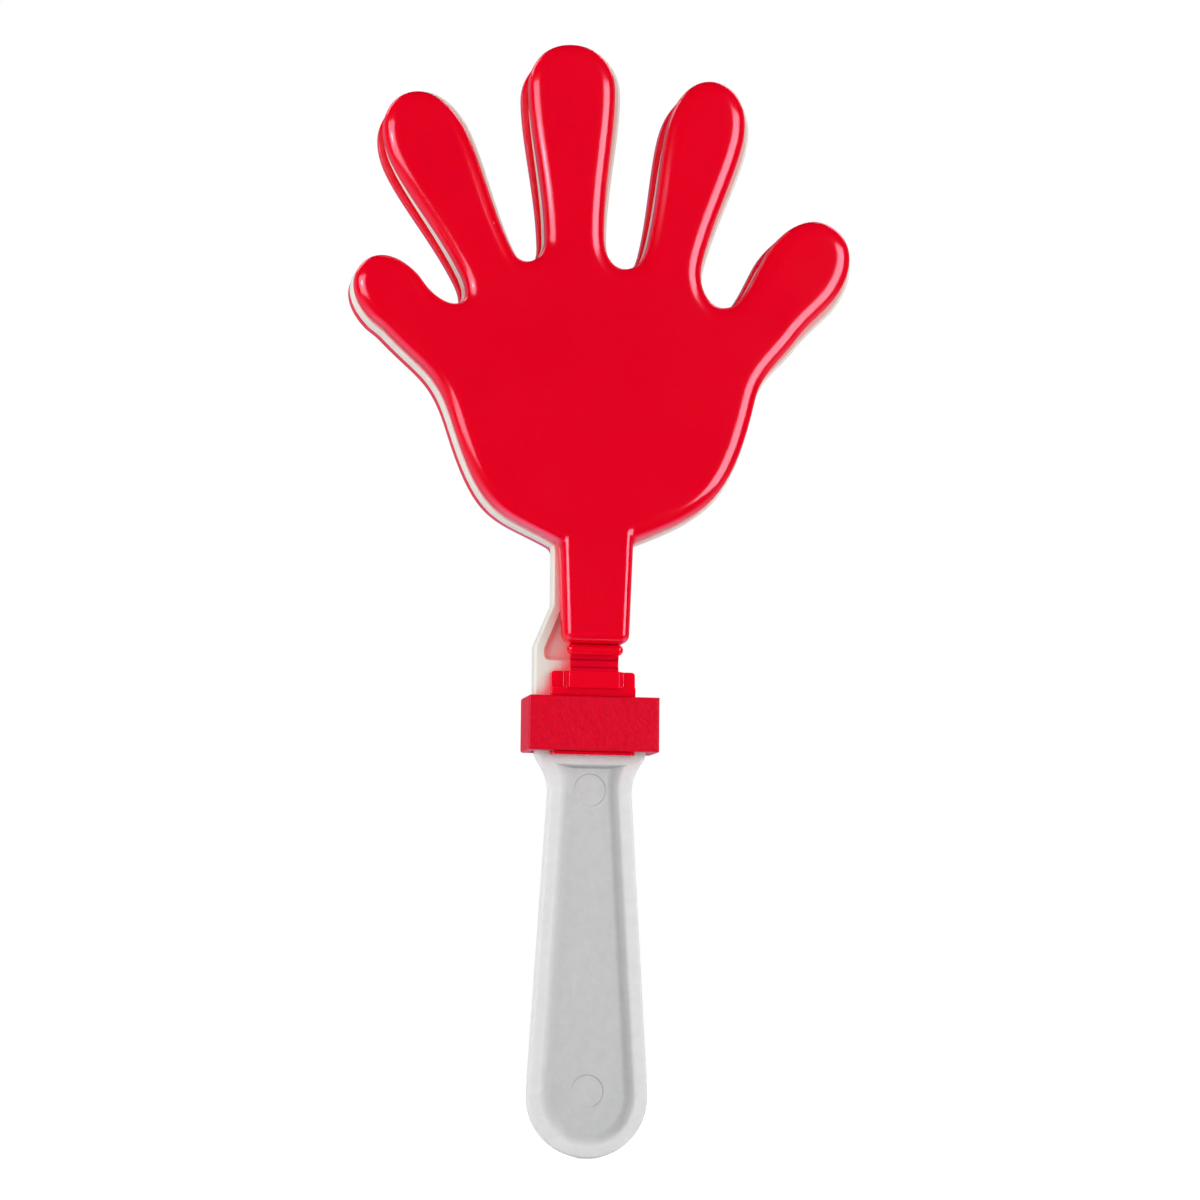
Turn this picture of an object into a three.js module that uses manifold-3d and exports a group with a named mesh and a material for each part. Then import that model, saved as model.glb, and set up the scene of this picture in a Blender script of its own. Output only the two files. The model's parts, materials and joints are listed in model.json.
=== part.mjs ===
// Hand clapper: a centre hand moulded in one piece with its handle, and two hollow outer hands that
// swing on living hinges and clap against it. A sleeve on the handle clamps the feet of both hinges.
// Millimetres. +Z points to the fingertips, +X to the thumb, -Y to the front hand.
// The origin is the middle of the grip, on the handle's axis and halfway through its thickness.
import * as THREE from "three";
import { mergeVertices } from "three/addons/utils/BufferGeometryUtils.js";
import Module from "manifold-3d";

const wasm = await Module();
wasm.setup();

// Centre hand and handle
const plateThickness = 5.0;
const plateEdgeRadius = 0.6;
const floorThickness = 1.6;
const gripToEnd = 34.2;
const handleEndRadius = 15.0;
const gripToCollar = 50.7;
const shoulderHalf = 13.9;
const shoulderBelowCollar = 0.7;
const shoulderTuck = 1.2;
const waistHalf = 10.4;
const waistBelowCollar = 10.3;
const handleRim = 3.1;
const handlePocketBelowCollar = 3.4;
const ejectorRadius = 4.15;
const ejectorDepth = 0.15;
const ejectorBelowPocketTop = 6.0;
const ejectorAbovePocketEnd = 13.2;
const earHalf = 14.6;
const earAboveCollar = 12.5;
const earRadius = 4.0;
const flareHeight = 10.4;
const flareRadius = 3.0;
const handRim = 2.8;
const handPocketAboveHinge = 1.3;
const rightShoulderDrop = 2.5;

// Collar
const collarHeight = 13.7;
const collarWall = 2.1;
const collarSideWall = 2.4;
const collarSideGap = 0.25;
const collarCornerRadius = 0.6;
const collarOverEar = 0.3;

// Foot of each outer hand
const footThickness = 1.75;
const footHalf = 10.6;
const footRise = 6.25;
const footCornerRadius = 0.9;
const stepProud = 0.75;
const stepRise = 2.4;
const stepGap = 0.1;
const padProud = 1.55;
const padHalf = 6.3;
const padFlank = 1.3;
const lipHeight = 0.8;
const lipReach = 1.35;
const lipGap = 0.1;
const lipHalf = 10.3;

// Living hinge
const hingeOff = 2.5;
const stripHalf = 6.1;
const stripThickness = 1.2;
const footStripRise = 0.85;
const webHeight = 2.0;
const webWaist = 0.4;
const handStripRise = 1.05;
const beadRadius = 1.4;
const beadLength = 14.2;
const beadProud = 1.0;

// Outer hands
const clapGap = 1.5;
const trayWall = 1.2;
const lipDepth = 3.0;
const crownDepth = 3.0;
const neckLength = 24.9;
const neckTopHalf = 9.2;
const neckBottomHalf = 8.3;
const neckCornerRadius = 2.4;
const palmCornerRadius = 1.6;
const neckCrown = 2.3;
const palmCrown = 4.6;
const crownBlend = 12.0;

// Centre hand against the outer hands
const centrePalmGrow = 0.95;
const centreFingerGrow = 0.7;
const centreFingerLean = 1.4;
const centreShift = 0.4;
const palmMiddleUp = 47.8;
const centreNeckLeft = 1.0;
const centreNeckRight = 0.6;
const centreNeckTaper = 1.2;
const notchHalf = 6.5;
const notchFlare = 2.0;

// Fingers. The root lies off the middle of the palm's base, by X across and by Up. The lean is in
// degrees from +Z towards the thumb. Half is half the greatest width, and the rounded tip begins there.
const littleX = -48.4;
const littleUp = 57.4;
const littleLean = -45.1;
const littleLength = 16.1;
const littleHalf = 8.0;
const littleTip = 11.2;
const littleRootHalf = 7.5;

const ringX = -28.7;
const ringUp = 70.5;
const ringLean = -27.4;
const ringLength = 47.0;
const ringHalf = 10.15;
const ringTip = 14.45;
const ringRootHalf = 7.1;

const middleX = -6.3;
const middleUp = 77.9;
const middleLean = -1.5;
const middleLength = 49.9;
const middleHalf = 11.0;
const middleTip = 11.4;
const middleRootHalf = 7.4;

const indexX = 19.6;
const indexUp = 75.2;
const indexLean = 13.9;
const indexLength = 46.4;
const indexHalf = 9.85;
const indexTip = 14.3;
const indexRootHalf = 7.2;

const thumbX = 44.3;
const thumbUp = 59.8;
const thumbLean = 35.8;
const thumbLength = 29.4;
const thumbHalf = 10.4;
const thumbTip = 14.5;
const thumbRootHalf = 8.7;

// How deep the curve between two fingers reaches past their roots
const littleRingValley = 8.7;
const ringMiddleValley = 6.0;
const middleIndexValley = 9.6;
const indexThumbValley = 9.4;

// Palm edge on each side: the lean where it leaves the neck, its steepest point, and the pull of the
// curve below and above that point
const heelLeanLeft = -63.0;
const palmLeftX = -36.4;
const palmLeftUp = 29.6;
const palmLeftLean = -18.1;
const palmLeftLow = 25.0;
const palmLeftHigh = 13.8;
const heelLeanRight = 67.6;
const heelRiseRight = 1.0;
const palmRightX = 40.5;
const palmRightUp = 38.4;
const palmRightLean = 13.0;
const palmRightLow = 27.0;
const palmRightHigh = 7.0;

const fingers = [
  { x: littleX, up: littleUp, lean: littleLean, length: littleLength, half: littleHalf, tip: littleTip,
    rootHalf: littleRootHalf, valley: littleRingValley },
  { x: ringX, up: ringUp, lean: ringLean, length: ringLength, half: ringHalf, tip: ringTip,
    rootHalf: ringRootHalf, valley: ringMiddleValley },
  { x: middleX, up: middleUp, lean: middleLean, length: middleLength, half: middleHalf, tip: middleTip,
    rootHalf: middleRootHalf, valley: middleIndexValley },
  { x: indexX, up: indexUp, lean: indexLean, length: indexLength, half: indexHalf, tip: indexTip,
    rootHalf: indexRootHalf, valley: indexThumbValley },
  { x: thumbX, up: thumbUp, lean: thumbLean, length: thumbLength, half: thumbHalf, tip: thumbTip,
    rootHalf: thumbRootHalf },
];

// How fully the curves are drawn
const fingerSideSteps = 4;
const tipSteps = 5;
const valleySteps = 6;
const palmSteps = 6;
const cornerSteps = 3;
const crownSteps = 3;
const discSteps = 24;
const rootPull = 0.35;
const sidePull = 0.28;
const tipPull = 0.6;
const heelPull = 0.4;

// Heights and depths that follow from the sizes above
const plateHalf = plateThickness / 2;
const collarBottomZ = gripToCollar;
const collarTopZ = collarBottomZ + collarHeight;
const footTopZ = collarTopZ + footRise;
const webBottomZ = footTopZ + footStripRise;
const webTopZ = webBottomZ + webHeight;
const hingeZ = (webBottomZ + webTopZ) / 2;
const beadZ = webTopZ + handStripRise + beadRadius;
const neckBottomZ = beadZ + beadRadius;
const palmBaseZ = neckBottomZ + neckLength;
const hingeY = plateHalf + hingeOff;
const rimY = plateHalf + clapGap;
const collarInnerHalf = plateHalf + footThickness;
const collarBoreHalf = shoulderHalf + collarSideGap;

const vec = (x, z) => new THREE.Vector2(x, z);
const towards = (degrees) => {
  const angle = THREE.MathUtils.degToRad(degrees);
  return vec(Math.sin(angle), Math.cos(angle));
};
const along = (point, direction, distance) => point.clone().addScaledVector(direction, distance);

// A hand's edge from the palm's corner on the little finger's side round to the thumb's side. All the
// fingers but the little one, and the thumb, turn with `lean` about the middle of the palm.
function handEdge(lean) {
  const palmMiddle = vec(0, palmBaseZ + palmMiddleUp);
  const frames = fingers.map((finger, i) => {
    const turn = i === 0 ? 0 : lean;
    const up = towards(finger.lean + turn);
    const right = vec(up.y, -up.x);
    const root = vec(finger.x, palmBaseZ + finger.up).rotateAround(palmMiddle, THREE.MathUtils.degToRad(-turn));
    const shoulder = along(root, up, finger.length - finger.tip);
    return {
      ...finger,
      up,
      right,
      apex: along(root, up, finger.length),
      rootAt: (side) => along(root, right, side * finger.rootHalf),
      wideAt: (side) => along(shoulder, right, side * finger.half),
    };
  });
  const path = new THREE.Path();
  const counts = [];
  const curve = (a, b, c, steps) => {
    path.bezierCurveTo(a.x, a.y, b.x, b.y, c.x, c.y);
    counts.push(steps);
  };

  const little = frames[0];
  const heelLeft = towards(heelLeanLeft);
  const start = along(vec(-neckTopHalf, palmBaseZ), heelLeft, palmCornerRadius);
  const palmLeft = vec(palmLeftX, palmBaseZ + palmLeftUp);
  const upLeft = towards(palmLeftLean);
  path.moveTo(start.x, start.y);
  curve(along(start, heelLeft, heelPull * start.distanceTo(palmLeft)), along(palmLeft, upLeft, -palmLeftLow),
    palmLeft, palmSteps);
  curve(along(palmLeft, upLeft, palmLeftHigh), along(little.rootAt(-1), little.up, -palmLeftHigh),
    little.rootAt(-1), palmSteps);

  frames.forEach((finger, i) => {
    const straight = finger.length - finger.tip;
    const rise = tipPull * finger.tip;
    const spread = tipPull * finger.half;
    curve(along(finger.rootAt(-1), finger.up, rootPull * straight),
      along(finger.wideAt(-1), finger.up, -sidePull * straight), finger.wideAt(-1), fingerSideSteps);
    curve(along(finger.wideAt(-1), finger.up, rise), along(finger.apex, finger.right, -spread),
      finger.apex, tipSteps);
    curve(along(finger.apex, finger.right, spread), along(finger.wideAt(1), finger.up, rise),
      finger.wideAt(1), tipSteps);
    curve(along(finger.wideAt(1), finger.up, -sidePull * straight),
      along(finger.rootAt(1), finger.up, rootPull * straight), finger.rootAt(1), fingerSideSteps);
    const next = frames[i + 1];
    if (next) {
      curve(along(finger.rootAt(1), finger.up, -finger.valley),
        along(next.rootAt(-1), next.up, -finger.valley), next.rootAt(-1), valleySteps);
    }
  });

  const thumb = frames[frames.length - 1];
  const heelRight = towards(heelLeanRight);
  const end = along(vec(neckTopHalf, palmBaseZ + heelRiseRight), heelRight, palmCornerRadius);
  const palmRight = vec(palmRightX, palmBaseZ + palmRightUp);
  const upRight = towards(palmRightLean);
  curve(along(thumb.rootAt(1), thumb.up, -palmRightHigh), along(palmRight, upRight, palmRightHigh),
    palmRight, palmSteps);
  curve(along(palmRight, upRight, -palmRightLow), along(end, heelRight, heelPull * end.distanceTo(palmRight)),
    end, palmSteps);

  const points = [start];
  path.curves.forEach((piece, i) => points.push(...piece.getPoints(counts[i]).slice(1)));
  return points;
}

// Points of the round corner between two straight edges, met at `corner`.
function roundCorner(before, corner, after, radius) {
  const back = before.clone().sub(corner).normalize();
  const ahead = after.clone().sub(corner).normalize();
  const half = Math.acos(back.dot(ahead)) / 2;
  const middle = back.clone().add(ahead).normalize();
  const centre = along(corner, middle, radius / Math.sin(half));
  const start = along(corner, back, radius / Math.tan(half));
  const sweep = Math.sign(ahead.cross(back)) * (Math.PI - 2 * half);
  const points = [];
  for (let i = 0; i <= cornerSteps; i += 1) {
    points.push(start.clone().rotateAround(centre, (sweep * i) / cornerSteps));
  }
  return points;
}

// Where the hand's edge, run on in a straight line, meets the side of the neck at x.
function neckCorner(edgePoint, nextPoint, x) {
  const slope = (nextPoint.y - edgePoint.y) / (nextPoint.x - edgePoint.x);
  return vec(x, edgePoint.y + slope * (x - edgePoint.x));
}

function neckJoin(edgePoint, nextPoint, x) {
  const corner = neckCorner(edgePoint, nextPoint, x);
  const curve = new THREE.QuadraticBezierCurve(vec(x, corner.y - palmCornerRadius), corner, edgePoint);
  return curve.getPoints(cornerSteps).slice(0, -1);
}

// Outline of an outer hand with its neck, clockwise seen from the front.
function outerOutline() {
  const edge = handEdge(0);
  const n = edge.length;
  const topLeft = vec(-neckTopHalf, palmBaseZ);
  const topRight = vec(neckTopHalf, palmBaseZ);
  const bottomLeft = vec(-neckBottomHalf, neckBottomZ);
  const bottomRight = vec(neckBottomHalf, neckBottomZ);
  return [
    ...roundCorner(bottomRight, bottomLeft, topLeft, neckCornerRadius),
    ...neckJoin(edge[0], edge[1], -neckTopHalf),
    ...edge,
    ...neckJoin(edge[n - 1], edge[n - 2], neckTopHalf).reverse(),
    ...roundCorner(topRight, bottomRight, bottomLeft, neckCornerRadius),
  ];
}

// Unit normals of a clockwise outline, pointing out.
function outwardNormals(points) {
  const n = points.length;
  return points.map((point, i) => {
    const direction = points[(i + 1) % n].clone().sub(points[(i + n - 1) % n]).normalize();
    return vec(-direction.y, direction.x);
  });
}

function moveOut(points, distanceAt) {
  const normals = outwardNormals(points);
  return points.map((point, i) => along(point, normals[i], distanceAt(point)));
}

// Outline of the centre hand, its neck with a notch beside the hinge, the one-sided ear over the collar,
// and the handle.
function centreOutline() {
  const grow = ({ y }) => {
    const share = THREE.MathUtils.smoothstep(y, palmBaseZ + palmLeftUp, palmBaseZ + ringUp);
    return THREE.MathUtils.lerp(centrePalmGrow, centreFingerGrow, share);
  };
  const hand = moveOut(handEdge(centreFingerLean), grow)
    .map((point) => along(point, vec(1, 0), centreShift));
  const n = hand.length;
  const neckLeft = -neckTopHalf - centreNeckLeft;
  const neckRight = neckTopHalf + centreNeckRight;
  const earTopZ = collarTopZ + earAboveCollar;
  const joinLeft = neckJoin(hand[0], hand[1], neckLeft);
  const joinRight = neckJoin(hand[n - 1], hand[n - 2], neckRight).reverse();
  const earLow = vec(-earHalf, collarTopZ + collarOverEar);
  const earHigh = vec(-earHalf, earTopZ);
  const flareTop = vec(neckLeft, earTopZ + flareHeight);
  const shoulderZ = collarBottomZ - shoulderBelowCollar;
  const waistZ = collarBottomZ - waistBelowCollar;

  const endCentre = vec(0, -gripToEnd);
  const span = waistZ - endCentre.y;
  const distance = Math.hypot(waistHalf, span);
  const tangent = Math.acos(handleEndRadius / distance) + Math.atan2(waistHalf, span);
  const side = (sign) => {
    const shoulder = vec(sign * shoulderHalf, shoulderZ);
    const waist = vec(sign * waistHalf, waistZ);
    const drop = (shoulderZ - waistZ) / 2;
    const curve = new THREE.CubicBezierCurve(
      shoulder, vec(sign * (shoulderHalf - shoulderTuck), shoulderZ - 0.6 * drop),
      vec(sign * waistHalf, waistZ + 1.1 * drop), waist);
    return curve.getPoints(palmSteps);
  };
  const endArc = [];
  const arcSteps = 4 * valleySteps;
  for (let i = 0; i <= arcSteps; i += 1) {
    const angle = tangent + ((2 * Math.PI - 2 * tangent) * i) / arcSteps;
    endArc.push(along(endCentre, vec(Math.sin(angle), Math.cos(angle)), handleEndRadius));
  }
  return [
    ...side(-1).reverse(),
    vec(-shoulderHalf, earLow.y),
    earLow,
    ...roundCorner(earLow, earHigh, flareTop, earRadius),
    ...roundCorner(earHigh, flareTop, joinLeft[0], flareRadius),
    ...joinLeft,
    ...hand,
    ...joinRight,
    vec(neckRight - centreNeckTaper, neckBottomZ + notchFlare),
    vec(notchHalf, neckBottomZ),
    vec(notchHalf, footTopZ),
    vec(neckRight - centreNeckTaper, footTopZ - notchFlare),
    vec(neckRight - centreNeckTaper, collarTopZ - stepGap),
    vec(shoulderHalf, collarTopZ - rightShoulderDrop),
    ...side(1),
    ...endArc,
  ];
}

// The part of an outline above or below a height, closed with a level edge.
function cutAt(points, z, keepAbove) {
  const inside = (point) => (keepAbove ? point.y >= z : point.y <= z);
  const kept = [];
  points.forEach((point, i) => {
    const next = points[(i + 1) % points.length];
    if (inside(point)) kept.push(point);
    if (inside(point) !== inside(next)) kept.push(point.clone().lerp(next, (z - point.y) / (next.y - point.y)));
  });
  return kept;
}

// Turns an extrusion drawn in X and Y so that its outline stands in X and Z.
function upright(geometry) {
  const position = geometry.attributes.position;
  for (let i = 0; i < position.count; i += 1) {
    position.setXYZ(i, position.getX(i), -position.getZ(i), position.getY(i));
  }
  return geometry;
}

// A flat piece with this outline between two depths.
function slab(points, yNear, yFar) {
  const shape = new THREE.Shape(points);
  const geometry = new THREE.ExtrudeGeometry(shape, { depth: yFar - yNear, bevelEnabled: false });
  return upright(geometry).translate(0, yFar, 0);
}

function plate(points, thickness, edgeRadius) {
  const geometry = new THREE.ExtrudeGeometry(new THREE.Shape(points), {
    depth: thickness - 2 * edgeRadius,
    bevelThickness: edgeRadius,
    bevelSize: edgeRadius,
    bevelOffset: -edgeRadius,
    bevelSegments: 2,
  });
  return upright(geometry).translate(0, thickness / 2 - edgeRadius, 0);
}

function block(xHalf, yNear, yFar, zLow, zHigh) {
  const geometry = new THREE.BoxGeometry(2 * xHalf, yFar - yNear, zHigh - zLow);
  return geometry.translate(0, (yNear + yFar) / 2, (zLow + zHigh) / 2);
}

function toSolid(geometry) {
  const bare = geometry.index ? geometry.clone() : geometry;
  bare.deleteAttribute("normal");
  bare.deleteAttribute("uv");
  const merged = mergeVertices(bare, 1e-4);
  return new wasm.Manifold(new wasm.Mesh({
    numProp: 3,
    vertProperties: new Float32Array(merged.attributes.position.array),
    triVerts: new Uint32Array(merged.index.array),
  }));
}

function toGeometry(solid) {
  const { vertProperties, triVerts } = solid.getMesh();
  const geometry = new THREE.BufferGeometry();
  geometry.setAttribute("position", new THREE.BufferAttribute(new Float32Array(vertProperties), 3));
  geometry.setIndex([...triVerts]);
  geometry.computeVertexNormals();
  return geometry;
}

const join = (geometries) => geometries.map(toSolid).reduce((a, b) => a.add(b));

// The same piece on the other side of the centre plate.
function mirrored(geometry) {
  const copy = geometry.clone();
  const position = copy.attributes.position;
  for (let i = 0; i < position.count; i += 1) position.setY(i, -position.getY(i));
  copy.setIndex([...copy.index.array].reverse());
  copy.computeVertexNormals();
  return copy;
}

// A thin hollow tray with a crowned edge, open towards the centre plate, with its face at -Y.
function trayGeometry(outline) {
  const normals = outwardNormals(outline);
  const crownAt = (z) => {
    const neck = THREE.MathUtils.mapLinear(z, neckBottomZ, palmBaseZ, 0.9, 1) * neckCrown;
    return THREE.MathUtils.lerp(neck, palmCrown, THREE.MathUtils.smoothstep(z, palmBaseZ, palmBaseZ + crownBlend));
  };
  const ring = (insetAt, depth) => outline.map((point, i) => {
    const moved = along(point, normals[i], -insetAt(crownAt(point.y)));
    return [moved.x, -rimY - depth, moved.y];
  });
  const outer = [ring(() => 0, 0)];
  const inner = [ring(() => trayWall, 0)];
  for (let i = 0; i <= crownSteps; i += 1) {
    const angle = ((Math.PI / 2) * i) / crownSteps;
    const turn = 1 - Math.cos(angle);
    outer.push(ring((crown) => crown * turn, lipDepth + crownDepth * Math.sin(angle)));
    inner.push(ring((crown) => trayWall + (crown - trayWall) * turn,
      lipDepth + (crownDepth - trayWall) * Math.sin(angle)));
  }
  const rings = [...inner.reverse(), ...outer];
  const n = outline.length;
  const triangles = [];
  rings.slice(1).forEach((_, r) => {
    for (let i = 0; i < n; i += 1) {
      const a = r * n + i;
      const b = r * n + ((i + 1) % n);
      triangles.push(a, a + n, b, b, a + n, b + n);
    }
  });
  const cap = (r, facesFront) => {
    const flat = rings[r].map(([x, , z]) => vec(x, z));
    THREE.ShapeUtils.triangulateShape(flat, []).forEach((face) => {
      const seenFromFront = THREE.ShapeUtils.area(face.map((i) => flat[i])) > 0;
      const corners = face.map((i) => r * n + i);
      triangles.push(...(seenFromFront === facesFront ? corners : corners.reverse()));
    });
  };
  cap(0, false);
  cap(rings.length - 1, true);
  const geometry = new THREE.BufferGeometry();
  geometry.setAttribute("position", new THREE.Float32BufferAttribute(rings.flat(2), 3));
  geometry.setIndex(triangles);
  return geometry;
}

function beadGeometry() {
  const bead = new THREE.CapsuleGeometry(beadRadius, beadLength - 2 * beadRadius, 3, 12);
  return bead.rotateZ(Math.PI / 2).translate(0, -hingeY - beadProud, beadZ);
}

// An outer hand: tray, bead, and the stiff end of the hinge strip.
function palmGeometry() {
  const strip = block(stripHalf, -hingeY - stripThickness / 2, -hingeY + stripThickness / 2,
    webTopZ, neckBottomZ + trayWall / 2);
  return toGeometry(join([trayGeometry(outerOutline()), beadGeometry(), strip]));
}

// The thin strip that flexes, waisted at the middle of its height.
function webGeometry() {
  const half = stripThickness / 2;
  const waist = webWaist / 2;
  const quarter = webHeight / 4;
  const section = [
    vec(-half, -webHeight / 2), vec(-waist, -quarter), vec(-waist, quarter), vec(-half, webHeight / 2),
    vec(half, webHeight / 2), vec(waist, quarter), vec(waist, -quarter), vec(half, -webHeight / 2),
  ];
  const geometry = new THREE.ExtrudeGeometry(new THREE.Shape(section), {
    depth: 2 * stripHalf,
    bevelEnabled: false,
  });
  geometry.translate(0, 0, -stripHalf);
  const position = geometry.attributes.position;
  for (let i = 0; i < position.count; i += 1) {
    position.setXYZ(i, position.getZ(i), position.getX(i) - hingeY, position.getY(i) + hingeZ);
  }
  return toGeometry(toSolid(geometry));
}

// The foot: plate under the collar, ledge on the collar's top, padded root of the hinge, catch lip below.
function footGeometry() {
  const low = collarBottomZ - lipGap - lipHeight;
  const back = -plateHalf;
  const face = -collarInnerHalf;
  const corners = [vec(-footHalf, low), vec(-footHalf, footTopZ), vec(footHalf, footTopZ), vec(footHalf, low)];
  const outline = [
    corners[0],
    ...roundCorner(corners[0], corners[1], corners[2], footCornerRadius),
    ...roundCorner(corners[1], corners[2], corners[3], footCornerRadius),
    corners[3],
  ];
  const stepLow = collarTopZ + stepGap;
  const stepTop = collarTopZ + stepRise;
  const padSection = [
    vec(-padHalf - padFlank, face + 0.5), vec(-padHalf - padFlank, face), vec(-padHalf, face - padProud),
    vec(padHalf, face - padProud), vec(padHalf + padFlank, face), vec(padHalf + padFlank, face + 0.5),
  ];
  const pad = new THREE.ExtrudeGeometry(new THREE.Shape(padSection), {
    depth: footTopZ - stepTop + 0.4,
    bevelEnabled: false,
  }).translate(0, 0, stepTop - 0.4);
  return toGeometry(join([
    slab(outline, face, back),
    block(footHalf, face - stepProud, face + 0.5, stepLow, stepTop),
    pad,
    block(lipHalf, face - lipReach, face + 0.5, low, low + lipHeight),
    block(stripHalf, -hingeY - stripThickness / 2, -hingeY + stripThickness / 2, footTopZ - 1, webBottomZ),
  ]));
}

function centreGeometry() {
  const outline = centreOutline();
  const recess = (plateThickness - floorThickness) / 2;
  const handPocket = cutAt(moveOut(outline, () => -handRim), hingeZ + handPocketAboveHinge, true);
  const pocketTopZ = collarBottomZ - handlePocketBelowCollar;
  const handlePocket = cutAt(moveOut(outline, () => -handleRim), pocketTopZ, false);
  const pocketEndZ = handleRim - gripToEnd - handleEndRadius;
  const mark = (z, yNear) => {
    const disc = new THREE.CylinderGeometry(ejectorRadius, ejectorRadius, 2 * ejectorDepth, discSteps);
    return disc.translate(0, yNear, z);
  };
  const cuts = [handPocket, handlePocket].flatMap((points) => [
    slab(points, -plateHalf - 1, -plateHalf + recess),
    slab(points, plateHalf - recess, plateHalf + 1),
  ]);
  [pocketTopZ - ejectorBelowPocketTop, pocketEndZ + ejectorAbovePocketEnd].forEach((z) => {
    cuts.push(mark(z, -plateHalf + recess), mark(z, plateHalf - recess));
  });
  const whole = toSolid(plate(outline, plateThickness, plateEdgeRadius));
  return toGeometry(cuts.map(toSolid).reduce((solid, cut) => solid.subtract(cut), whole));
}

function collarGeometry() {
  const outerX = collarBoreHalf + collarSideWall;
  const outerY = collarInnerHalf + collarWall;
  const corners = [vec(-outerX, -outerY), vec(-outerX, outerY), vec(outerX, outerY), vec(outerX, -outerY)];
  const outline = corners.flatMap((corner, i) =>
    roundCorner(corners[(i + 3) % 4], corner, corners[(i + 1) % 4], collarCornerRadius));
  const shape = new THREE.Shape(outline);
  shape.holes.push(new THREE.Path([
    vec(-collarBoreHalf, -collarInnerHalf), vec(collarBoreHalf, -collarInnerHalf),
    vec(collarBoreHalf, collarInnerHalf), vec(-collarBoreHalf, collarInnerHalf),
  ]));
  const sleeve = new THREE.ExtrudeGeometry(shape, { depth: collarHeight, bevelEnabled: false });
  return sleeve.translate(0, 0, collarBottomZ);
}

const ivory = { color: 0xe9ebe6, roughness: 0.38, metalness: 0 };
const red = { color: 0xe4001e, roughness: 0.2, metalness: 0 };
const satinRed = { color: 0xda0c23, roughness: 0.5, metalness: 0 };

function mesh(name, geometry, finish) {
  const piece = new THREE.Mesh(geometry, new THREE.MeshStandardMaterial(finish));
  piece.name = name;
  return piece;
}

const clapper = new THREE.Group();
clapper.add(mesh("center_hand", centreGeometry(), ivory));
clapper.add(mesh("collar", collarGeometry(), satinRed));

const frontHand = { palm: palmGeometry(), hinge_web: webGeometry(), hinge_foot: footGeometry() };
Object.entries(frontHand).forEach(([part, geometry]) => {
  clapper.add(mesh(`front_${part}`, geometry, red));
  clapper.add(mesh(`back_${part}`, mirrored(geometry), red));
});

export default clapper;
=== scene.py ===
import json
import math
from contextlib import contextmanager

import bmesh
import bpy
from bpy.props import FloatProperty, FloatVectorProperty, PointerProperty
from bpy.types import Operator, Panel, PropertyGroup
from mathutils import Matrix, Vector


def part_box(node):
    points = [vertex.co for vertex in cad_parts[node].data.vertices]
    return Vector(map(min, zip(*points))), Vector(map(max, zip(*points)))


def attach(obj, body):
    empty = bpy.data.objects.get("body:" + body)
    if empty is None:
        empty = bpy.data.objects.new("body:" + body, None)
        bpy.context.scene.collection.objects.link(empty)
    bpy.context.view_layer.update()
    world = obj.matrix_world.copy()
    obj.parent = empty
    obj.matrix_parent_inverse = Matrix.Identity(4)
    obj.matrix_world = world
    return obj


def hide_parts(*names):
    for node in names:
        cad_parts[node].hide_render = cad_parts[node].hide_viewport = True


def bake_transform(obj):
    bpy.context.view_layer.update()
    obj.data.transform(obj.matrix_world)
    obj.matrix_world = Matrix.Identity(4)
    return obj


bl_info = {
    "name": "Hand Clapper",
    "version": (1, 0, 0),
    "blender": (4, 5, 0),
    "location": "3D View > Sidebar > Clapper",
    "description": "Builds the finished look of a hand clapper around its packed model",
    "category": "Add Mesh",
}

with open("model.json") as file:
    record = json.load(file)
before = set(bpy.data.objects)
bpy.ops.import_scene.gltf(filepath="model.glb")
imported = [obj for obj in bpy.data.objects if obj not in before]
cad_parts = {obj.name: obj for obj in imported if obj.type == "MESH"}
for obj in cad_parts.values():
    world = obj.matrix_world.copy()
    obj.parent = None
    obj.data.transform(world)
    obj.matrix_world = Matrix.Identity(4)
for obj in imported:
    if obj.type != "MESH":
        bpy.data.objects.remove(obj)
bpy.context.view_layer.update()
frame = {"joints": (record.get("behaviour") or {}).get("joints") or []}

# All sizes are in millimetres and angles in degrees, as in the solids. MM turns them into metres.
MM = 0.001
HINGE_Y, HINGE_Z = (abs(c) / MM for c in frame["joints"][0]["pos_m"][1:])
COLLAR_LOW, COLLAR_HIGH = (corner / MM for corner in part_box("collar"))
FOOT_LOW, FOOT_HIGH = (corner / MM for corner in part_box("front_hinge_foot"))
WEB_LOW, WEB_HIGH = (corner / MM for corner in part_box("front_hinge_web"))

# Centre hand and handle
PLATE_HALF = 2.5
FLOOR_HALF = 0.8
GRIP_TO_END = 34.2
HANDLE_END_RADIUS = 15.0
SHOULDER_HALF = 13.9
SHOULDER_BELOW_COLLAR = 0.7
SHOULDER_TUCK = 1.2
SHOULDER_PULL = 0.6
WAIST_HALF = 10.4
WAIST_BELOW_COLLAR = 10.3
WAIST_PULL = 1.1
HANDLE_RIM = 3.1
HANDLE_POCKET_BELOW_COLLAR = 3.4
HANDLE_TOP_SLOPE_SHARE = 0.2
HANDLE_FINISH_IN_COLLAR = 1.0
EJECTOR_RADIUS = 3.9
EJECTOR_DEPTH = 0.2
EJECTOR_SLOPE = 0.22
EJECTOR_BELOW_POCKET_TOP = 6.0
EJECTOR_ABOVE_POCKET_END = 13.2
EAR_HALF = 14.6
EAR_ABOVE_COLLAR = 12.5
EAR_RADIUS = 4.0
FLARE_HEIGHT = 10.4
FLARE_RADIUS = 3.0
HAND_RIM = 2.8
HAND_POCKET_ABOVE_HINGE = 1.3
HAND_POCKET_CORNER = 1.2
RIGHT_SHOULDER_DROP = 2.5
COLLAR_OVER_EAR = 0.3
FOOT_RISE = 6.25
COLLAR_WALL = 2.1
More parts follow.
